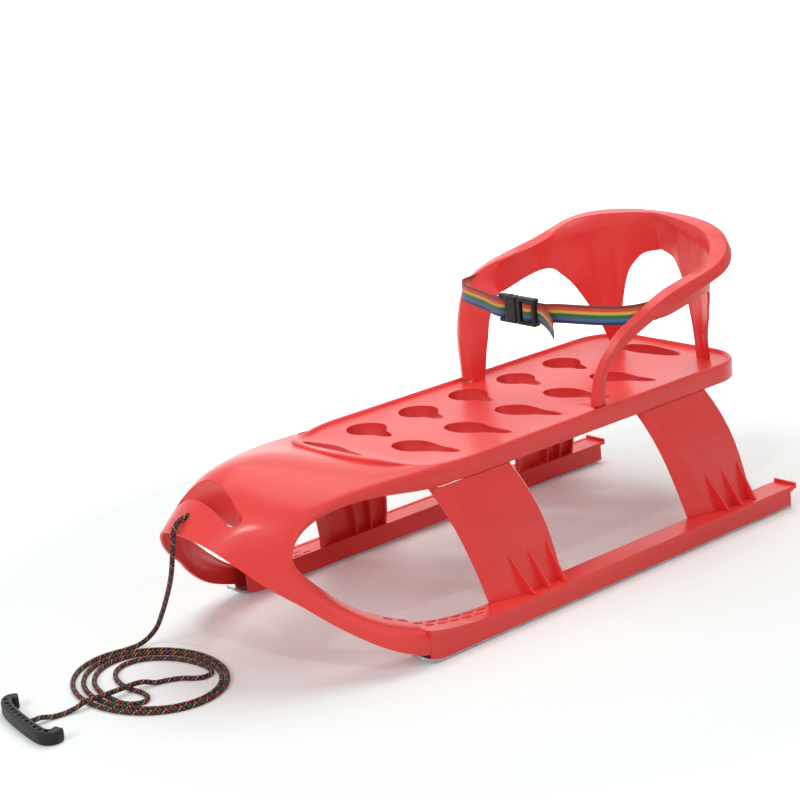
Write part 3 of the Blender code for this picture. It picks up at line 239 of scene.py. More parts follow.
def moulded(name):
    """Glossy injection-moulded plastic with flow marks and fine scuffs."""
    n = Nodes(name)
    where = n.place()
    flow = n.noise(n.place((1.0, 0.35, 1.0)), 9.0, 3.0, 0.55)
    tone = n.ramp(flow, CORAL_TONES)
    scuffs = n.noise(n.place((60.0, 9.0, 40.0)), 6.0, 2.0, 0.6)
    rough = n.spread(scuffs, 0.45, 0.85, 0.36, 0.44)
    grain = n.noise(where, 900.0, 2.0, 0.6)
    ripple = n.noise(where, 28.0, 1.0, 0.4)
    normal = n.bump(ripple, 0.1, 0.002)
    normal = n.bump(grain, 0.1, 0.00025, normal)
    return n.set(Base_Color=tone, Roughness=rough, Normal=normal,
                 Specular_IOR_Level=0.35, Coat_Weight=0.12,
                 Coat_Roughness=0.12, Subsurface_Weight=0.06,
                 Subsurface_Scale=0.004)


def zinc_steel():
    """Drawn galvanised strip: spangle and length-wise scratches."""
    n = Nodes("zinc_steel_look")
    cells = n.add("TexVoronoi", Scale=140.0)
    n.link(n.place((1, 0.5, 1)), cells.inputs["Vector"])
    grey = n.ramp(cells.outputs["Distance"],
                  ((0.0, (0.33, 0.35, 0.37)), (0.6, (0.44, 0.46, 0.48)),
                   (1.0, (0.52, 0.54, 0.55))))
    lines = n.noise(n.place((400.0, 3.0, 400.0)), 4.0, 2.0, 0.6)
    rough = n.spread(lines, 0.3, 0.8, 0.28, 0.5)
    return n.set(Base_Color=grey, Metallic=1.0, Roughness=rough,
                 Normal=n.bump(lines, 0.25, 0.0003))


def black_plastic():
    """Matt black acetal with a fine spark-eroded grain."""
    n = Nodes("black_plastic_look")
    where = n.place()
    cloud = n.noise(where, 60.0, 3.0, 0.6)
    tone = n.ramp(cloud, ((0.35, (0.006, 0.006, 0.007)),
                          (0.7, (0.016, 0.015, 0.014))))
    grain = n.noise(where, 1500.0, 2.0, 0.7)
    rough = n.spread(cloud, 0.3, 0.8, 0.42, 0.56)
    return n.set(Base_Color=tone, Roughness=rough, Specular_IOR_Level=0.3,
                 Normal=n.bump(grain, 0.25, 0.0003))


def rainbow_webbing():
    """Six woven stripes across the belt, with cross ribs and a twill, and
    painted shade where the threads sink.
    """
    n = Nodes("belt_webbing_look")
    along, across = n.weave()
    stripes = n.ramp(across, STRIPES)
    ribs = n.math("SINE", n.math("MULTIPLY", along, math.tau / RIB_PITCH))
    warp = n.math("SINE", n.math("MULTIPLY", across, math.tau * WARP_PAIRS))
    weave = n.math("MULTIPLY", n.math("ADD", n.math("MULTIPLY", ribs, warp),
                                      1.0), 0.5)
    fuzz = n.noise(n.place(), 700.0, 3.0, 0.7)
    thread = n.math("ADD", n.math("MULTIPLY", weave, 0.7),
                    n.math("MULTIPLY", fuzz, 0.5))
    # Painted shade: darker toward near-black where the weave's threads sink,
    # the same height as the bump, with random fibre fuzz mixed in
    weave_shade_and_fuzz = n.spread(thread, 0.15, 0.95, 0.4, 0.0)
    tone = n.mix(weave_shade_and_fuzz, stripes, (0.012, 0.01, 0.012))
    return n.set(Base_Color=tone, Roughness=0.72, Sheen_Weight=0.25,
                 Sheen_Roughness=0.5,
                 Normal=n.bump(thread, 0.6, 0.0004))


def braided_rope():
    """Sixteen-strand diamond braid: black with coloured tracers."""
    n = Nodes("rope_cord_look")
    along, around = n.weave()
    step = n.math("DIVIDE", along, BRAID_PITCH)
    turn = n.math("MULTIPLY", around, float(STRANDS))
    strands = []
    for sign, palette in (("ADD", TRACERS_A), ("SUBTRACT", TRACERS_B)):
        lane = n.math(sign, turn, step)
        number = n.math("FLOOR", lane)
        part = n.math("DIVIDE", n.math("FLOORED_MODULO", number,
                                       float(STRANDS)), float(STRANDS))
        colour = n.ramp(n.math("ADD", part, 0.02), palette, "CONSTANT")
        strands.append((number, colour, n.math("FRACT", lane)))
    total = n.math("ADD", strands[0][0], strands[1][0])
    over = n.math("FLOORED_MODULO", total, 2.0)
    tone = n.mix(over, strands[0][1], strands[1][1])
    fuzz = n.noise(n.place(), 1400.0, 3.0, 0.7)
    tone = n.mix(n.spread(fuzz, 0.35, 0.75, 0.35, 0.0), tone,
                 (0.004, 0.004, 0.006))
    height = n.math("ADD",
                    n.math("SINE", n.math("MULTIPLY", strands[0][2], math.pi)),
                    n.math("SINE", n.math("MULTIPLY", strands[1][2], math.pi)))
    return n.set(Base_Color=tone, Roughness=0.6, Sheen_Weight=0.03,
                 Sheen_Roughness=0.4, Specular_IOR_Level=0.2,
                 Normal=n.bump(height, 0.7, 0.0004))

# Belt: cross ribs, pairs of warp threads, and the stripes from the lower
# edge to the upper one
RIB_PITCH = 0.0011
WARP_PAIRS = 19
STRIPES = ((0.00, (0.015, 0.018, 0.085)), (0.13, (0.015, 0.018, 0.085)),
           (0.18, (0.045, 0.15, 0.38)), (0.31, (0.055, 0.17, 0.4)),
           (0.36, (0.02, 0.15, 0.045)), (0.5, (0.025, 0.17, 0.05)),
           (0.55, (0.85, 0.56, 0.08)), (0.65, (0.85, 0.56, 0.08)),
           (0.7, (0.82, 0.095, 0.022)), (0.83, (0.76, 0.075, 0.022)),
           (0.88, (0.27, 0.028, 0.026)), (1.00, (0.27, 0.028, 0.026)))

# Rope: strands in each direction, and how far along a strand takes a lane
STRANDS = 8
BRAID_PITCH = 0.0021
INK = (0.006, 0.007, 0.014)
NAVY = (0.01, 0.018, 0.06)
RED = (0.6, 0.03, 0.06)
GREEN = (0.012, 0.19, 0.08)
YELLOW = (0.78, 0.52, 0.12)
TRACERS_A = tuple((i / STRANDS, c) for i, c in enumerate(
    (INK, RED, INK, NAVY, GREEN, INK, INK, YELLOW)))
TRACERS_B = tuple((i / STRANDS, c) for i, c in enumerate(
    (NAVY, INK, GREEN, INK, RED, INK, INK, RED)))

# Plastic: tones of its flow marks, dark to pale
CORAL_TONES = ((0.3, (0.77, 0.038, 0.036)), (0.52, (0.82, 0.047, 0.042)),
               (0.75, (0.85, 0.06, 0.052)))

CORAL = moulded("coral_plastic_look")
BACK_CORAL = moulded("backrest_plastic_look")
STEEL = zinc_steel()
BLACK = black_plastic()
WEBBING = rainbow_webbing()
ROPE = braided_rope()

LOOKS = {"coral_plastic": CORAL, "backrest_plastic": BACK_CORAL,
         "zinc_steel": STEEL, "belt_webbing": WEBBING,
         "black_plastic": BLACK, "rope_cord": ROPE}


def dress_nodes():
    """Give every CAD node the finished material of its slot."""
    for node in NODES.values():
        for entry in node.material_slots:
            entry.material = LOOKS[entry.material.name.split(".")[0]]

dress_nodes()


# Mesh helpers

def metres(points):
    """The points of a list that is written in millimetres."""
    return [tuple(v / 1000 for v in point) for point in points]



def smooth_curve(points, steps):
    """Points read from a smooth curve through the given points."""
    pts = [Vector(p) for p in points]
    ends = [pts[0] * 2 - pts[1]] + pts + [pts[-1] * 2 - pts[-2]]
    result = []
    for p0, p1, p2, p3 in zip(ends, ends[1:], ends[2:], ends[3:]):
        for k in range(steps):
            t = k / steps
            result.append(0.5 * ((2 * p1) + (p2 - p0) * t
                          + (2 * p0 - 5 * p1 + 4 * p2 - p3) * t ** 2
                          + (3 * p1 - p0 - 3 * p2 + p3) * t ** 3))
    result.append(pts[-1])
    return result


def even_points(points, spacing, steps=12):
    """Points at even spacing along a smooth curve, and its length."""
    fine = smooth_curve(points, steps)
    lengths = [0.0]
    for a, b in zip(fine, fine[1:]):
        lengths.append(lengths[-1] + (b - a).length)
    count = max(2, round(lengths[-1] / spacing))
    result = []
    k = 0
    for i in range(count + 1):
        target = lengths[-1] * i / count
        while k < len(fine) - 2 and lengths[k + 1] < target:
            k += 1
        span = lengths[k + 1] - lengths[k]
        result.append(fine[k].lerp(fine[k + 1], (target - lengths[k]) / span))
    return result, lengths[-1]


def step_at(path, i):
    """From the point before one of a path's points to the one after."""
    return path[min(i + 1, len(path) - 1)] - path[max(i - 1, 0)]


def level_side(path, i):
    """Level direction square to a path at one of its points."""
    step = step_at(path, i)
    run = Vector((step.x, step.y, 0)).normalized()
    return Vector((-run.y, run.x, 0))


def woven(name, rings, shares, ends, material):
    """Closed piece around (reach, points) rings, with weave coordinates."""
    bm = bmesh.new()
    layer = bm.loops.layers.uv.new("weave")
    rows = [(reach, [bm.verts.new(p) for p in ring]) for reach, ring in rings]
    for (s0, a), (s1, b) in zip(rows, rows[1:]):
        for k, (t0, t1) in enumerate(zip(shares, shares[1:])):
            j = (k + 1) % len(a)
            face = bm.faces.new((a[k], a[j], b[j], b[k]))
            face.smooth = True
            for loop, uv in zip(face.loops,
                                ((s0, t0), (s0, t1), (s1, t1), (s1, t0))):
                loop[layer].uv = uv
    for reach, ring in (rows[0], rows[-1]):
        for loop, share in zip(bm.faces.new(ring).loops, ends):
            loop[layer].uv = (reach, share)
    return finish_mesh(name, bm, material)


def tube(name, path, radius, around, relief, material):
    """Closed tube that follows a path, with weave coordinates."""
    side = Vector((1, 0, 0))
    shares = [k / around for k in range(around + 1)]
    rings = []
    reach = 0.0
    for i, point in enumerate(path):
        run = step_at(path, i).normalized()
        side = (side - run * side.dot(run)).normalized()
        top = run.cross(side)
        if i:
            reach += (point - path[i - 1]).length
        ring = []
        for turn in shares[:-1]:
            size = radius + relief(reach, turn)
            angle = math.tau * turn
            ring.append(point + side * math.cos(angle) * size
                        + top * math.sin(angle) * size)
        rings.append((reach, ring))
    return woven(name, rings, shares, [0.0] * around, material)


def grid_faces(bm, rows, closed=False):
    """Quads between rows of vertices, closed around each row if asked."""
    for lower, upper in zip(rows[:-1], rows[1:]):
        count = len(lower)
        for i in range(count if closed else count - 1):
            j = (i + 1) % count
            bm.faces.new((lower[i], lower[j], upper[j], upper[i]))


def capped(bm, rings):
    """Side faces between rings of vertices, and a face at each end."""
    grid_faces(bm, rings, closed=True)
    bm.faces.new(rings[0])
    bm.faces.new(rings[-1])


def crisp(obj, degrees):
    """Smooth shading that keeps folds sharper than the angle."""
    obj.data.shade_smooth()
    obj.data.set_sharp_from_angle(angle=math.radians(degrees))


def as_object(name, bm, material, smooth=None):
    """An object of a bmesh, as its faces are turned."""
    if smooth is not None:
        for face in bm.faces:
            face.smooth = smooth
    mesh = bpy.data.meshes.new(name)
    bm.to_mesh(mesh)
    bm.free()
    mesh.materials.append(material)
    obj = bpy.data.objects.new(name, mesh)
    bpy.context.scene.collection.objects.link(obj)
    return obj


def finish_mesh(name, bm, material, smooth=None):
    """An object of a closed bmesh, with its faces turned outwards."""
    bmesh.ops.recalc_face_normals(bm, faces=bm.faces)
    return as_object(name, bm, material, smooth)


# Tow rope


def coil_point(degrees):
    """The coil's centre line at an angle about its middle."""
    turn = (degrees - COIL_FROM) / 360
    angle = math.radians(degrees)
    middle = COIL_CENTRE + COIL_DRIFT * turn
    wide = COIL_X - COIL_SHRINK_X * turn
    deep = COIL_Y - COIL_SHRINK_Y * turn
    return Vector((middle.x + wide * math.cos(angle),
                   middle.y + deep * math.sin(angle), FLOOR_Z))


def handle_path():
    """Centre line of the bowed handle, lying on the floor."""
    plan = [(4, -614.5), (6.5, -626), (-3, -633), (-24, -632.5),
            (-51, -629), (-81, -624), (-104, -617.5), (-115, -608),
            (-110.5, -598)]
    return [Vector((x, y, HANDLE_HEIGHT / 2 + GAP)) for x, y in metres(plan)]


def rope_route():
    """One line from the stop knot, around the coil, to the handle."""
    hang = [(0, 26.5, 0), (0, 20, 0.1), (0, 14, 0), (0, 7.8, -1.5),
            (0, 2, -5), (0, -2.4, -11), (0, -4.4, -19)]
    points = [Vector((x, NOSE_Y + y, ROPE_Z + z))
              for x, y, z in metres(hang)]
    points += [Vector(p) for p in metres((
        (-1, -434.5, 176), (-6, -434, 160), (-15, -431.5, 140),
        (-30, -426, 119), (-48, -419, 100), (-72, -410, 76),
        (-96, -402, 52), (-118, -397, 29), (-133, -401, 13),
        (-140.5, -412, 5)))]
    run = (coil_point(COIL_FROM + 1) - coil_point(COIL_FROM)).normalized()
    points.append(coil_point(COIL_FROM) - run * COIL_LEAD)
    count = round(COIL_TURN / 15)
    points += [coil_point(COIL_FROM + COIL_TURN * k / count)
               for k in range(count + 1)]
    last = coil_point(COIL_FROM + COIL_TURN)
    run = (last - coil_point(COIL_FROM + COIL_TURN - 1)).normalized()
    points.append(last + run * COIL_LEAD)
    rise = 2 * ROPE_R + 0.0008
    points += [Vector((x / 1000, y / 1000, FLOOR_Z + rise * h))
               for x, y, h in (
        (-34, -520.5, 0), (-16, -519.5, 0), (-3, -512, 0), (1, -501, 0),
        (-7, -491, 0), (-22, -488.5, 0), (-42, -491, 0), (-62, -490, 0),
        (-84, -483, 0), (-101, -470, 0), (-108, -452, 0), (-103, -432, 0),
        (-87, -415, 0), (-65, -403, 0), (-40, -397, 0), (-18, -397, 0),
        (-3, -403, 0), (1, -415, 0), (-6, -426, 0), (-18, -435, 0),
        (-27, -449, 0), (-32, -463, 0.1), (-35, -476, 0.8), (-37, -490, 1),
        (-38, -515, 1), (-40, -537, 1), (-42, -552, 0.95),
        (-44, -564, 0.35), (-47, -578, 0), (-49, -592, 0.1),
        (-51, -606, 0.6))]
    middle, face = handle_path()[4], Vector((0.15, 0.9887, 0))
    points += [middle + face * (HANDLE_WIDTH / 2 + 0.006),
               middle + face * (HANDLE_WIDTH / 2 - 0.002)]
    return points


def braid_relief(along, turn):
    """Height of the braid's strands above the rope's mean surface."""
    lane_a = turn * STRANDS + along / BRAID_PITCH
    lane_b = turn * STRANDS - along / BRAID_PITCH
    over = (math.floor(lane_a) + math.floor(lane_b)) % 2
    lane = lane_b if over else lane_a
    return 0.00016 * math.sin(math.pi * (lane % 1.0)) - 0.0001


def make_rope():
    """The whole rope as one braided piece, and the knot at its end."""
    path, length = even_points(rope_route(), 0.001)
    rope = tube("tow_rope", path, ROPE_R, 16, braid_relief, ROPE)
    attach(rope, "sled")
    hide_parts("tow_rope_lead", "tow_rope_coil", "tow_rope_tail")
    turns = []
    for k in range(61):
        angle = math.tau * KNOT_TURNS * k / 60
        turns.append(Vector((KNOT_R * math.cos(angle),
                             KNOT_Y - KNOT_LENGTH * k / 60,
                             ROPE_Z + KNOT_R * math.sin(angle))))
    wound, _ = even_points(turns, 0.0008, 2)
    knot = tube("stop_knot", wound, 0.0021, 12, braid_relief, ROPE)
    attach(knot, "sled")
    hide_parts("rope_stop_knot")
    handle = make_handle()


def make_handle():
    """Bowed grip: rounded body, finger ribs in a channel on its top."""
    path, length = even_points(handle_path(), 0.0011)
    bm = bmesh.new()
    half, tall = HANDLE_WIDTH / 2, HANDLE_HEIGHT / 2
    profile = ((0.42, 1.0), (0.72, 1.0), (0.9, 0.9), (1.0, 0.66),
               (1.0, 0.0), (1.0, -0.62), (0.86, -0.9), (0.6, -1.0),
               (0.0, -1.0), (-0.6, -1.0), (-0.86, -0.9), (-1.0, -0.62),
               (-1.0, 0.0), (-1.0, 0.66), (-0.9, 0.9), (-0.72, 1.0),
               (-0.42, 1.0), (-0.4, 0.0), (0.0, 0.0), (0.4, 0.0))
    rings = []
    for i, point in enumerate(path):
        side = level_side(path, i)
        reach = length * i / (len(path) - 1)
        edge = min(reach, length - reach)
        close = min(1.0, 0.8 + 0.2 * math.sqrt(min(1.0, edge / 0.0025)))
        rib = 0.5 + 0.5 * math.cos(
            math.tau * (reach - length / 2) / HANDLE_RIB_PITCH)
        depth = 0.0004 if edge < HANDLE_PLAIN else 0.0004 + 0.003 * (
            1 - min(1.0, max(0.0, (rib - 0.3) / 0.25)))
        ring = []
        for across, height in profile:
            if abs(across) <= 0.4:
                z = tall - depth
            else:
                z = tall * height
            ring.append(bm.verts.new(point + side * half * across * close
                                     + Vector((0, 0, z * close))))
        rings.append(ring)
    capped(bm, rings)
    handle = finish_mesh("rope_handle", bm, BLACK, smooth=True)
    crisp(handle, 35)
    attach(handle, "sled")
    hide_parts("pull_handle")
    return handle

make_rope()


# Lap belt


def belt(points):
    """Belt points from (x, y, rise) in mm around the buckle's place."""
    return [Vector((x, BUCKLE_Y + y, BELT_Z + z))
            for x, y, z in metres(points)]


def belt_run(sign):
    """One strap from its sewn end, through its slot, to the buckle."""
    end = [(159.8, 76, 1), (161.2, 84, 1), (160, 86.2, 1), (158, 84, 1)]
    main = [(156.6, 76, 1), (154.5, 60, 1), (147, 40, 2), (126, 22.5, 3),
            (98, 12.5, 3)]
    if sign > 0:
        main += [(70, 8, 2), (44, 4.6, 0)]
    else:
        main += [(70, 6, 2), (46, -0.5, 0)]
    return (belt([(sign * x, y, z) for x, y, z in end])
            + smooth_curve(belt([(sign * x, y, z) for x, y, z in main]), 2))


def strap(name, points):
    """Woven ribbon that stands on edge, with a rolled selvedge."""
    path, _ = even_points(points, 0.0018, 6)
    across = 14
    rise = [k / across for k in range(across + 1)]
    shares = rise + [1 - v for v in rise]
    rings = []
    reach = 0.0
    for i, point in enumerate(path):
        side = level_side(path, i)
        if i:
            reach += (point - path[i - 1]).length
        ring = []
        for k, v in enumerate(shares):
            face = 1 if k <= across else -1
            edge = min(v, 1 - v) * WEB_WIDTH
            thick = WEB_THICK / 2 * min(1.0, 0.35 + 0.65 * edge / SELVEDGE)
            ring.append(point + side * thick * face
                        + Vector((0, 0, WEB_WIDTH * (v - 0.5))))
        rings.append((reach, ring))
    return woven(name, rings, shares + shares[:1], shares, WEBBING)


def make_belt():
    """Both straps; the left one turns back through the ladder bar."""
    wrap = [(-33, -3.4, 0), (-27, -3.4, 0), (-24.6, -2.2, 0), (-23.6, 0, 0),
            (-24.6, 2.2, 0), (-27, 3.4, 0), (-33, 3.6, 0), (-44, 3.4, 0),
            (-56, 6, 0)]
    right = strap("lap_belt_right", belt_run(-1) + belt(wrap))
    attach(right, "backrest")
    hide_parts("strap_right")
    ladder = [(24, 3.8, 0), (14, 3.6, 0), (10.8, 2.4, 0), (9.6, 0.2, 0),
              (10.6, -2, 0), (14, -3.2, 0), (20, -3, 0), (25, -0.6, 0),
              (28.5, 1, 0), (36, 1, -1)]
    tail = [(46, -1, -3), (60, -6, -8), (74, -13, -14)]
    left = strap("lap_belt_left", belt_run(1) + belt(ladder + tail))
    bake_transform(left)
    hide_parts("strap_left")

make_belt()


# Mouldings in fine meshes: nose with toe arms, backrest and deck

WALL = 0.003
DECK_HALF_WIDTH = 0.132
DECK_REAR_Y = 0.421
DECK_CORNER_R = 0.06
DECK_FRONT_Y = NOSE_Y + 0.208
DECK_STRAIGHT_Y = NOSE_Y + 0.345
ARM_JOINT_Y = NOSE_Y + 0.202
ARM_TOP_Z = 0.124
GRIP_HALF = 0.05
GRIP_HEIGHT = 0.02
GRIP_Y = NOSE_Y + 0.041
GRIP_Z = DECK_TOP + 0.0195
GRIP_SLOPE = math.radians(42)
GRIP_BOW = 0.012
ROPE_HOLE_R = 0.0038
COLLAR_WALL = 0.0024
GRIP_CROWN = 0.009
GRIP_CUT = 0.012
GRIP_FOOT_Z = 0.204
GRIP_DEPTH = 0.022
KNOT_ROOM_X = 0.012
KNOT_ROOM_Y = -0.396
TONGUE_DEPTH = 0.014
# Tongues of one half: x, y, half width, half depth, rise into the foot
TONGUES = ((0.1115, 0.15, 0.003, 0.008, 0.0062),
           (0.078, 0.3875, 0.008, 0.003, 0.006))
SLOT_POINTS = 14  # of a strap, from its sewn end to past the belt slot
BAND_MIDDLE = 0.42
BAND_HALF = 0.2
BAND_SLOPE = 0.1
BAND_HEIGHT = 0.0014
TREAD_PITCH = 0.018
TREAD_SIZE = (0.0125, 0.0032, 0.0009)


def guide(name, bm):
    """A closed mesh that only cuts or joins others."""
    bmesh.ops.recalc_face_normals(bm, faces=bm.faces)
    if bm.calc_volume(signed=True) < 0:
        bmesh.ops.reverse_faces(bm, faces=bm.faces)
    obj = finish_mesh(name, bm, CORAL, smooth=True)
    obj.hide_render = True
    return obj


def bake(obj):
    """Put an object's modifiers into its mesh."""
    graph = bpy.context.evaluated_depsgraph_get()
    mesh = bpy.data.meshes.new_from_object(obj.evaluated_get(graph))
    obj.modifiers.clear()
    obj.data = mesh


def cut(obj, other, operation="DIFFERENCE"):
    """One Boolean, applied at once; the other object is used up."""
    modifier = obj.modifiers.new("cut", "BOOLEAN")
    modifier.operation = operation
    modifier.object = other
    modifier.solver = "MANIFOLD"
    bake(obj)
    bpy.data.objects.remove(other)


def box_guide(low, high):
    """A box between two corners."""
    bm = bmesh.new()
    bmesh.ops.create_cube(bm, size=1.0)
    for vert in bm.verts:
        for axis in range(3):
            vert.co[axis] = high[axis] if vert.co[axis] > 0 else low[axis]
    return guide("box_guide", bm)


def tongue_boxes(low, high=None, grow=0.0):
    """Boxes around the four tongues, from one height to another."""
    for side in (1, -1):
        for x, y, half_x, half_y, rise in TONGUES:
            half_x, half_y = half_x + grow, half_y + grow
            top = DECK_TOP + rise if high is None else high
            yield box_guide((side * x - half_x, y - half_y, low),
                            (side * x + half_x, y + half_y, top))


def thicken(obj, thickness, levels):
    """Smooth an open skin, and give it the wall of the moulding."""
    smooth = obj.modifiers.new("smooth", "SUBSURF")
    smooth.levels = levels
    smooth.render_levels = levels
    thick = obj.modifiers.new("thick", "SOLIDIFY")
    thick.thickness = thickness
    thick.offset = -1.0
    thick.use_even_offset = True
    bake(obj)


def mirror_halves(obj):
    """Mirror a right half that ends on the middle plane."""
    half = obj.modifiers.new("mirror", "MIRROR")
    half.merge_threshold = 0.0001
    half.use_clip = True


def deck_edge():
    """The deck's outline in plan, with the seam to the nose closed."""
    right = [(0.0, DECK_FRONT_Y)] + deck_half_outline(0.0)[:32]
    right.append((DECK_HALF_WIDTH, DECK_REAR_Y - DECK_CORNER_R))
    right.append((0.08, DECK_REAR_Y))
    return right + [(-x, y) for x, y in reversed(right[1:])]


def nose_skin():
    """Control points of the right half: dome, rim below it, and arm."""
    dome = [
        [(0, -214, 222), (62, -198, 217), (100, -160, 210), (129, -90, 207)],
        [(0, -252, 236), (61, -245, 227.5), (101, -213, 214.5),
         (129, -165, 209)],
        [(0, -305, 253), (58, -300, 229), (98, -280, 213.5),
         (121, -250, 210)],
        [(0, -361, 254), (57, -353, 220), (93, -339, 201), (107, -323, 197)],
        [(0, -403.5, 220.5), (53, -390, 198), (92, -374, 168),
         (110, -362, 155)],
        [(0, -434, 186.5), (48, -422, 177.5), (87, -397, 140),
         (106, -372, 114.5)],
    ]
    edge = [(131, -95, 182), (128, -160, 181), (118, -245, 198),
            (103, -325, 188), (109, -359, 156)]
    arm = [
        [(118, -353, 99), (122, -352, 124), (114, -343, 131)],
        [(138, -333, 77), (144, -326, 97), (121, -303, 90)],
        [(159, -304, 52), (163, -301, 76), (132, -271, 66)],
        [(176, -277, 33), (181, -273, 60), (142, -236, 50)],
        [(187, -247, 19), (191, -242, 48), (149, -206, 40)],
        [(189, -200, 5), (193, -198, 38), (152, -170, 35)],
    ]
    bm = bmesh.new()
    grid = [[bm.verts.new(p) for p in metres(row)] for row in dome]
    grid_faces(bm, grid)
    rim = [bm.verts.new(p) for p in metres(edge)]
    grid_faces(bm, [[row[-1] for row in grid[:5]], rim])
    rows = [[grid[5][-1], grid[4][-1], rim[4]]]
    rows += [[bm.verts.new(p) for p in metres(row)] for row in arm]
    grid_faces(bm, rows)
    return finish_mesh("nose_and_toe_arms", bm, CORAL, smooth=True)


def grip_outline(grow):
    """Crescent of the hand grip, seen square to the nose's slope."""
    half = GRIP_HEIGHT / 2 + grow
    points = []
    for end, crown in ((1, GRIP_CROWN), (-1, 0.0)):
        for k in range(25):
            t = 1 - k / 12
            points.append((end * GRIP_HALF * t, end * half
                           - GRIP_BOW * t * t + crown * (1 - t * t)))
        for k in range(1, 8):
            angle = math.radians(end * 90 + 22.5 * k)
            points.append((-end * GRIP_HALF + half * math.cos(angle),
                           -GRIP_BOW + half * math.sin(angle)))
    return points


def grip_spots(grow, skin):
    """The crescent laid on the nose's skin, and the skin's way out."""
    up = Vector((0, math.cos(GRIP_SLOPE), math.sin(GRIP_SLOPE)))
    normal = Vector((0, -math.sin(GRIP_SLOPE), math.cos(GRIP_SLOPE)))
    centre = Vector((0, GRIP_Y, GRIP_Z))
    spots = []
    for u, v in grip_outline(grow):
        spot = centre + Vector((u, 0, 0)) + up * v
        hit = skin.ray_cast(spot + normal * 0.05, -normal)[0]
        spots.append(hit if hit is not None else spot)
    return spots, normal


def make_grip_wall(skin):
    """Wall around the grip that runs straight down, as it is drawn."""
    inner, _ = grip_spots(0.0002, skin)
    outer, _ = grip_spots(COLLAR_WALL, skin)
    bm = bmesh.new()
    rows = [[], [], [], []]
    for a, b in zip(inner, outer):
        clear = max((abs(a.x) - KNOT_ROOM_X) / 0.02,
                    (a.y - KNOT_ROOM_Y) / 0.008)
        deep = GRIP_FOOT_Z - GRIP_DEPTH * min(max(clear, 0.0), 1.0)
        low = min(a.z - 0.006, deep)
        rows[0].append(bm.verts.new((a.x, a.y, a.z - 0.0008)))
        rows[1].append(bm.verts.new((a.x, a.y, low)))
        rows[2].append(bm.verts.new((b.x, b.y, low)))
        rows[3].append(bm.verts.new((b.x, b.y, b.z - 0.0012)))
    grid_faces(bm, rows + [rows[0]], closed=True)
    wall = finish_mesh("grip_slot_wall", bm, CORAL)
    crisp(wall, 35)
    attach(wall, "sled")


def make_nose():
    """Nose and both toe arms as the one moulding that they are."""
    shell = nose_skin()
    mirror_halves(shell)
    thicken(shell, WALL, 4)
    bm = bmesh.new()
    capped(bm, [[bm.verts.new((x, y, z)) for x, y in deck_edge()]
                for z in (0.12, 0.3)])
    cut(shell, guide("deck_guide", bm))
    cut(shell, box_guide((-0.3, ARM_JOINT_Y, -0.1), (0.3, 0.43, ARM_TOP_Z)))
    bm = bmesh.new()
    bm.from_mesh(shell.data)
    skin = BVHTree.FromBMesh(bm)
    bm.free()
    spots, normal = grip_spots(0.0, skin)
    bm = bmesh.new()
    capped(bm, [[bm.verts.new(spot + normal * h) for spot in spots]
                for h in (-GRIP_CUT, GRIP_CUT)])
    cut(shell, guide("grip_guide", bm))
    bm = bmesh.new()
    bmesh.ops.create_cone(
        bm, cap_ends=True, segments=32, radius1=ROPE_HOLE_R,
        radius2=ROPE_HOLE_R, depth=0.04,
        matrix=Matrix.Translation((0, ROPE_HOLE_Y, ROPE_Z))
        @ Matrix.Rotation(math.radians(90), 4, "X"))
    cut(shell, guide("rope_hole_guide", bm))
    crisp(shell, 38)
    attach(shell, "sled")
    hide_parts("nose_shell", "left_toe_arm", "right_toe_arm")
    make_grip_wall(skin)


def backrest_stations():
    """Lip, rim, flange edge, mid wall and lower edge, back to foot."""
    foot = 1000 * DECK_TOP + 5.3
    low = 1000 * DECK_TOP + 0.5
    stations = [
        [(0, 405, 381), (0, 403, 394), (0, 390, 393), (0, 396, 366),
         (0, 402, 340)],
        [(30, 404, 381), (30, 402, 394), (29, 386, 392), (30, 390, 362),
         (30, 394, 333)],
        [(58, 403, 380), (57, 400, 393), (54, 379, 390), (53, 382, 350),
         (51, 385, 308)],
        [(104, 396, 376), (101, 393, 389), (90, 372, 386), (87, 374, 345),
         (85, 377, 300)],
        [(146, 376, 367), (142, 372, 380), (125, 354, 378), (123, 354, 335),
         (123, 350, 291)],
        [(169, 345, 346), (166, 342, 360), (143, 333, 359), (140, 332, 337),
         (138, 333, 314)],
        [(175, 297, 336), (172, 296, 350), (150, 292, 349), (149, 295, 331),
         (147, 299, 313)],
        [(175, 240, 325), (172, 232, 339), (154, 228, 342), (149, 234, 321),
         (144, 240, 301)],
        [(166, 201, 310), (168, 190, 322), (158, 184, 326), (144, 202, 315),
         (133, 219, 304)],
        [(147, 170, 284), (151, 160, 297), (141, 156, 301), (129, 172, 290),
         (120, 188, 280)],
        [(134, 149, 258), (137, 140, 263), (127, 136, 265), (117, 155, 260),
         (111.5, 174, 254)],
        [(128, 145, 232), (130, 135, 234), (120, 130, 236), (111, 148, 236),
         (108.5, 166, 236)],
        [(126, 146, foot), (127, 134, foot), (117, 127, foot),
         (110, 144, low), (108, 160, low)],
    ]
    return [metres(station) for station in stations]


def pillar_point(u, v):
    """Point of a pillar: u across from the middle, v down to the deck."""
    foot = 1000 * (DECK_TOP + GAP)
    inner = [(51, 385, 308), (58, 384, 276), (65, 384, 240),
             (66, 387, foot)]
    middle = [(85, 377, 300), (85, 377, 272), (82, 379, 238),
              (78, 387, foot)]
    outer = [(123, 350, 291), (114, 359, 268), (99, 372, 237),
             (90, 384, foot)]
    at = []
    for line in (inner, middle, outer):
        curve = smooth_curve(metres(line), 8)
        at.append(curve[round(v * (len(curve) - 1))])
    return (at[0] * (1 - u) * (1 - 2 * u) + at[1] * 4 * u * (1 - u)
            + at[2] * u * (2 * u - 1))


def eased(line, passes):
    """Even out small kinks along a line, with both ends kept."""
    pts = list(line)
    for _ in range(passes):
        pts = ([pts[0], pts[1]]
               + [(a + 2 * b + c) / 4
                  for a, b, c in zip(pts[1:], pts[2:], pts[3:])]
               + [pts[-1]])
    return pts


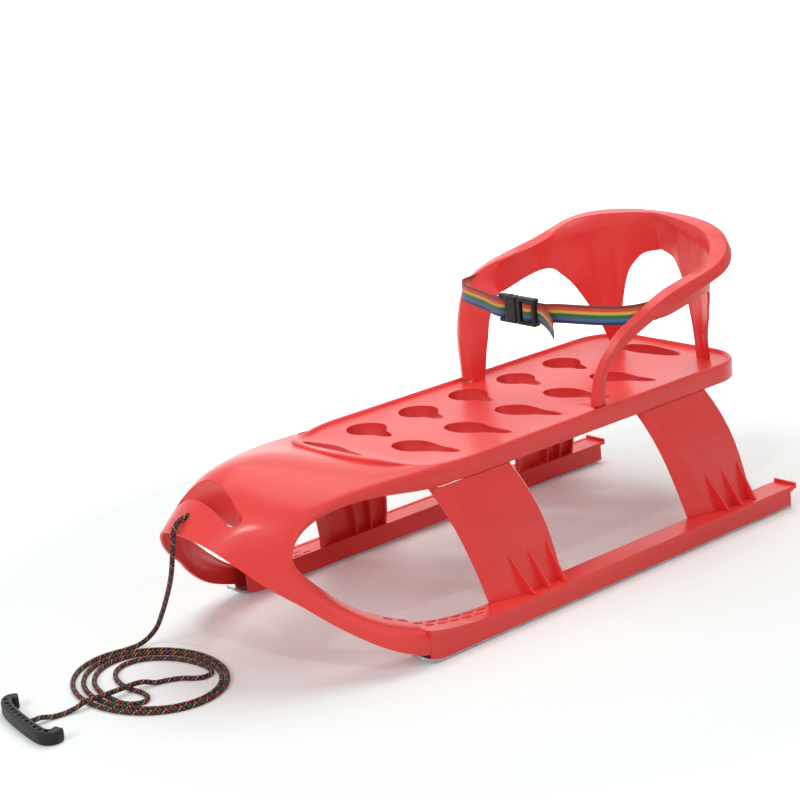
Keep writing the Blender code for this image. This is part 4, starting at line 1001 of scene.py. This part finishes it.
def band(share):
    """Height of the raised band on a pillar, across its width."""
    edge = abs(share - BAND_MIDDLE) - BAND_HALF
    t = min(max(-edge / BAND_SLOPE, 0.0), 1.0)
    return BAND_HEIGHT * t * t * (3 - 2 * t)


def round_corner(edge, corner):
    """Ease the corner where a pillar's edge meets the window's top."""
    for _ in range(14):
        near = range(corner - 8, corner + 7)
        spots = [(edge[k - 1].co + 2 * edge[k].co + edge[k + 1].co) / 4
                 for k in near]
        for k, spot in zip(near, spots):
            edge[k].co = spot


def backrest_skin():
    """Right half of the backrest's visible side."""
    steps = 10
    stations = backrest_stations()
    lines = [eased(smooth_curve([s[i] for s in stations], steps), passes)
             for i, passes in enumerate((30, 30, 30, 18, 14))]
    bm = bmesh.new()
    grid = []
    for k, (lip, rim, flange, mid, low) in enumerate(zip(*lines)):
        rise = Vector((0, -band((k - 2 * steps) / (2 * steps)), 0))
        mid, low = mid + rise, low + rise
        row = [lip, rim.lerp(lip, 0.2), rim.lerp(flange, 0.1),
               flange.lerp(rim, 0.1), flange.lerp(mid, 0.1),
               flange.lerp(mid, 0.55), mid, mid.lerp(low, 0.5), low]
        grid.append([bm.verts.new(p) for p in row])
    grid_faces(bm, grid)
    first, last = 2 * steps, 4 * steps
    down = 12
    for k in range(first, last + 1):
        grid[k] = [grid[k][-1]]
        u = (k - first) / (last - first)
        shift = grid[k][0].co - pillar_point(u, 0)
        for v in range(1, down + 1):
            spot = pillar_point(u, v / down) + shift * (1 - v / down)
            spot.y -= band(u) * v / down
            grid[k].append(bm.verts.new(spot))
    grid_faces(bm, grid[first:last + 1])
    round_corner([row[-1] for row in grid[:first]] + grid[first], first)
    round_corner([row[-1] for row in reversed(grid[last + 1:])]
                 + grid[last], len(grid) - last - 1)
    bmesh.ops.recalc_face_normals(bm, faces=bm.faces)
    top = max(bm.faces, key=lambda f: f.calc_center_median().z)
    if top.normal.z < 0:
        bmesh.ops.reverse_faces(bm, faces=bm.faces)
    return as_object("backrest_moulding", bm, BACK_CORAL, smooth=True)


def make_backrest():
    """The backrest in one thin moulding, with its four tongues."""
    back = backrest_skin()
    mirror_halves(back)
    thicken(back, WALL, 0)
    for tongue in tongue_boxes(DECK_TOP - TONGUE_DEPTH):
        cut(back, tongue, "UNION")
    for sign in (1, -1):
        cut(back, strap_guide(belt_run(sign)[:SLOT_POINTS]))
    crisp(back, 40)
    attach(back, "backrest")
    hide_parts("backrest")


def strap_guide(path):
    """A ribbon a little larger than the belt, to cut its slot."""
    bm = bmesh.new()
    rings = []
    for i, point in enumerate(path):
        side = level_side(path, i) * (WEB_THICK / 2 + GAP)
        up = Vector((0, 0, WEB_WIDTH / 2 + GAP))
        rings.append([bm.verts.new(point + side + up),
                      bm.verts.new(point - side + up),
                      bm.verts.new(point - side - up),
                      bm.verts.new(point + side - up)])
    capped(bm, rings)
    return guide("belt_slot_guide", bm)


# Deck, with the plan of its outline and holes

HOLE_ROWS = 5
HOLE_PITCH = 0.0875
FIRST_HOLE_Y = DECK_FRONT_Y + 0.128
LEAF_HEAD_R = 0.0225
LEAF_TAIL_R = 0.009
COLLAR_DEPTH = 0.0185
LEAF_WAIST = 1.3
RIM_WIDTH = 0.008
RIM_HEIGHT = 0.005
SKIRT_DEPTH = 0.02
FRONT_LIFT = 0.02
LIFT_RUN = 0.085


def deck_half_outline(inset):
    """Right half of the deck's outline, from the nose to the rear."""
    half = DECK_HALF_WIDTH - inset
    front = DECK_FRONT_Y + inset
    rear = DECK_REAR_Y - inset
    radius = DECK_CORNER_R - inset
    points = []
    for k in range(1, 32):
        angle = math.radians(90 * k / 32)
        points.append((half * math.sin(angle),
                       DECK_STRAIGHT_Y
                       + (front - DECK_STRAIGHT_Y) * math.cos(angle)))
    points.append((half, DECK_STRAIGHT_Y))
    span = rear - radius - DECK_STRAIGHT_Y
    for k in range(1, 13):
        points.append((half, DECK_STRAIGHT_Y + span * k / 12))
    for k in range(1, 16):
        angle = math.radians(90 * k / 16)
        points.append((half - radius + radius * math.cos(angle),
                       rear - radius + radius * math.sin(angle)))
    points.append((half - radius, rear))
    return points


def deck_lift(y):
    """How far the deck sweeps up to meet the nose."""
    t = (DECK_FRONT_Y + LIFT_RUN - y) / LIFT_RUN
    t = min(max(t, 0.0), 1.0)
    return FRONT_LIFT * t * t * (3 - 2 * t)


def deck_row(x_half, y, z, columns=(0.5, 0.0, -0.5)):
    """Points across the deck between its two edges."""
    return [(x_half * c, y, z + deck_lift(y)) for c in columns]


def deck_tray():
    """The tray: plate, rounded rim and skirt in one closed mesh."""
    rim = DECK_TOP + RIM_HEIGHT
    foot = DECK_TOP - SKIRT_DEPTH
    under = DECK_TOP - WALL
    profile = [(RIM_WIDTH + 0.0025, DECK_TOP), (RIM_WIDTH, DECK_TOP + 0.0006),
               (RIM_WIDTH - 0.0018, DECK_TOP + 0.0028),
               (RIM_WIDTH - 0.003, rim - 0.0006), (RIM_WIDTH / 2, rim),
               (0.0022, rim - 0.0002), (0.0008, rim - 0.0012),
               (0.0, rim - 0.0032), (0.0, foot + 0.0008), (0.0008, foot),
               (WALL, foot), (WALL, under), (RIM_WIDTH + 0.0025, under)]
    bm = bmesh.new()
    rings = []
    for inset, z in profile:
        half = deck_half_outline(inset)
        ring = [(x, y, z + deck_lift(y)) for x, y in half]
        ring += deck_row(half[-1][0], half[-1][1], z)
        ring += [(-x, y, z + deck_lift(y)) for x, y in reversed(half)]
        ring += deck_row(half[0][0], half[0][1], z, (-0.5, 0.0, 0.5))
        rings.append([bm.verts.new(co) for co in ring])
    grid_faces(bm, rings, closed=True)
    count = len(deck_half_outline(0.0))
    for ring, z in ((rings[0], DECK_TOP), (rings[-1], under)):
        half = deck_half_outline(profile[0][0])
        rows = []
        for i in range(count):
            if i == 0:
                middle = [ring[-1], ring[-2], ring[-3]]
            elif i == count - 1:
                middle = ring[count:count + 3]
            else:
                middle = [bm.verts.new(co)
                          for co in deck_row(half[i][0], half[i][1], z)]
            rows.append([ring[i]] + middle + [ring[2 * count + 2 - i]])
        grid_faces(bm, rows)
    return finish_mesh("deck_moulding", bm, CORAL, smooth=True)


def leaf_outline(place, grow, count=56):
    """A round head and a slim, waisted tail, at its place in the deck."""
    x0, y0, angle, length, head, tail = place
    length, head, tail = length + 2 * grow, head + grow, tail + grow
    reach = length - head - tail
    points = []
    for k in range(count):
        turn = math.tau * (k + 0.5) / count
        share = ((1 + math.cos(turn)) / 2) ** LEAF_WAIST
        slim = min(max(2 * share - 0.3, 0.0), 1.0)
        radius = head + (tail - head) * slim * slim * (3 - 2 * slim)
        x = -length / 2 + head + reach * share + radius * math.cos(turn)
        y = radius * math.sin(turn)
        points.append((x0 + x * math.cos(angle) - y * math.sin(angle),
                       y0 + x * math.sin(angle) + y * math.cos(angle)))
    return points


def hole_places():
    """(x, y, angle, length, head, tail) of each hole in the deck."""
    places = []
    for row in range(HOLE_ROWS):
        y = FIRST_HOLE_Y + row * HOLE_PITCH
        places.append((0.049, y + 0.005, math.radians(15), 0.093,
                       LEAF_HEAD_R, LEAF_TAIL_R))
        places.append((-0.062, y + 0.013, math.radians(-4), 0.074,
                       LEAF_HEAD_R + 0.005, LEAF_TAIL_R))
    places.append((-0.029, DECK_FRONT_Y + 0.052, math.radians(3), 0.094,
                   0.0225, 0.011))
    places.append((-0.01, DECK_REAR_Y - 0.04, math.radians(2), 0.098,
                   0.0185, 0.015))
    return places


def leaf_rings(outlines, hollow=False):
    """Guide for all holes, from (growth, drop below the deck) pairs."""
    bm = bmesh.new()
    for place in hole_places():
        rings = [[bm.verts.new((x, y, DECK_TOP - drop + deck_lift(y)))
                  for x, y in leaf_outline(place, grow)]
                 for grow, drop in outlines]
        if hollow:
            grid_faces(bm, rings + [rings[0]], closed=True)
        else:
            capped(bm, rings)
    return guide("leaf_guide", bm)


def make_deck():
    """The deck as one moulding, holes with rounded edges and collars."""
    deck = deck_tray()
    cut(deck, leaf_rings(((COLLAR_WALL, WALL / 2),
                          (COLLAR_WALL, COLLAR_DEPTH),
                          (-0.001, COLLAR_DEPTH), (-0.001, WALL / 2)),
                         hollow=True), "UNION")
    cut(deck, leaf_rings(((0.0016, -0.01), (0.0016, 0.0), (0.0, 0.06))))
    for room in tongue_boxes(0.17, 0.23, GAP):
        cut(deck, room)
    crisp(deck, 35)
    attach(deck, "sled")
    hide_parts("seat_deck")


def rounded_bar(bm, middle, run, up, length, width, height):
    """A low cleat with slanted sides, set on a surface."""
    side = run.cross(up)
    rings = []
    for grow, lift in ((0.0, -0.0006), (0.0, height * 0.6),
                       (-0.0006, height)):
        ring = []
        for a, b in ((1, 0.55), (0.8, 1), (-0.8, 1), (-1, 0.55),
                     (-1, -0.55), (-0.8, -1), (0.8, -1), (1, -0.55)):
            ring.append(bm.verts.new(
                middle + run * a * (length / 2 + grow)
                + side * b * (width / 2 + grow) + up * lift))
        rings.append(ring)
    capped(bm, rings)


def flange_inner(y):
    """Inner edge of the toe's flange, from the arm to the front leg."""
    line = ((-0.271, 0.132), (-0.236, 0.142), (-0.206, 0.149),
            (-0.17, 0.1515), (-0.12, 0.158), (-0.05, 0.158))
    for (y0, x0), (y1, x1) in zip(line, line[1:]):
        if y <= y1:
            return x0 + (x1 - x0) * (y - y0) / (y1 - y0)
    return line[-1][1]


def make_treads(side, sign):
    """Two staggered rows of cleats for the foot, on the toe's flange."""
    bm = bmesh.new()
    for name in (f"{side}_toe_arm", f"{side}_runner_beam"):
        bm.from_mesh(NODES[name].data)
    ground = BVHTree.FromBMesh(bm)
    bm.free()
    bm = bmesh.new()
    for row, (first, count, inset) in enumerate(((-0.252, 8, 0.0075),
                                                 (-0.226, 6, 0.0175))):
        for k in range(count):
            y = first + TREAD_PITCH * k
            spots = []
            for step in (-0.005, 0.0, 0.005):
                x = flange_inner(y + step) + inset
                hit = ground.ray_cast(Vector((sign * x, y + step, 0.12)),
                                      Vector((0, 0, -1)))
                spots.append(hit[:2])
            if any(spot is None for spot, _ in spots):
                continue
            run = (spots[2][0] - spots[0][0]).normalized()
            up = spots[1][1]
            up = (up - run * up.dot(run)).normalized()
            rounded_bar(bm, spots[1][0], run, up, *TREAD_SIZE)
    treads = finish_mesh(f"{side}_toe_treads", bm, CORAL)
    crisp(treads, 35)
    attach(treads, "sled")

make_nose()
make_deck()
make_backrest()
make_treads("left", 1)
make_treads("right", -1)


# Stage and light


def make_stage():
    """White floor that keeps the shadow, and fades to plain white."""
    bm = bmesh.new()
    bmesh.ops.create_grid(bm, x_segments=2, y_segments=2, size=25.0)
    n = Nodes("floor_white")
    far = n.add("VectorMath")
    far.operation = "LENGTH"
    n.link(n.add("TexCoord").outputs["Object"], far.inputs[0])
    glow = n.add("Emission", Color=WHITE)
    n.link(n.spread(far.outputs["Value"], FADE_FROM, FADE_TO, FLOOR_LIFT, 1.0),
           glow.inputs["Strength"])
    matt = n.add("BsdfDiffuse", Color=FLOOR_COLOUR).outputs[0]
    both = n.fill(n.add("AddShader"), matt, glow.outputs[0])
    pick = n.fill(n.add("MixShader"), n.seen_rays(), matt, both)
    n.link(pick, n.tree.nodes["Material Output"].inputs["Surface"])
    n.tree.nodes.remove(n.tree.nodes["Principled BSDF"])
    finish_mesh("floor", bm, n.owner)


def lamp(name, place, aim, size, power):
    """A square soft box that points at a place."""
    data = bpy.data.lights.new(name, "AREA")
    data.shape = "SQUARE"
    data.size = size
    data.energy = power
    obj = bpy.data.objects.new(name, data)
    bpy.context.scene.collection.objects.link(obj)
    obj.location = place
    obj.rotation_euler = (Vector(aim) - Vector(place)).to_track_quat(
        "-Z", "Y").to_euler()


def make_world():
    """Plain white surroundings; dimmer as light than as background."""
    n = Nodes("studio", bpy.data.worlds)
    bpy.context.scene.world = n.owner
    light = n.tree.nodes["Background"]
    light.inputs["Color"].default_value = WHITE
    light.inputs["Strength"].default_value = WORLD_LIGHT
    shown = n.add("Background", Color=WHITE, Strength=1.0)
    pick = n.fill(n.add("MixShader"), n.seen_rays(), light.outputs[0],
                  shown.outputs[0])
    n.link(pick, n.tree.nodes["World Output"].inputs["Surface"])

WHITE = (1, 1, 1, 1)
FLOOR_COLOUR = (0.865, 0.915, 0.895, 1)
FLOOR_LIFT = 0.12
FADE_FROM = 0.62
FADE_TO = 1.25
WORLD_LIGHT = 0.27

make_stage()
make_world()
lamp("key", (-0.3, 0.5, 2.5), (0, 0, 0.1), 2.2, 38.0)
lamp("fill", (0.4, -2.8, 1.7), (0, 0, 0.1), 1.0, 26.0)
lamp("side", (2.8, -0.4, 1.5), (0, 0, 0.1), 1.6, 10.0)
lamp("glint", (1.05, -1.58, 2.28), (0.065, -0.382, 0.189), 0.13, 7.0)
lamp("back", (-2.3, 2.1, 1.1), (0, 0, 0.2), 3.0, 15.0)
bpy.context.scene.view_settings.view_transform = "Standard"
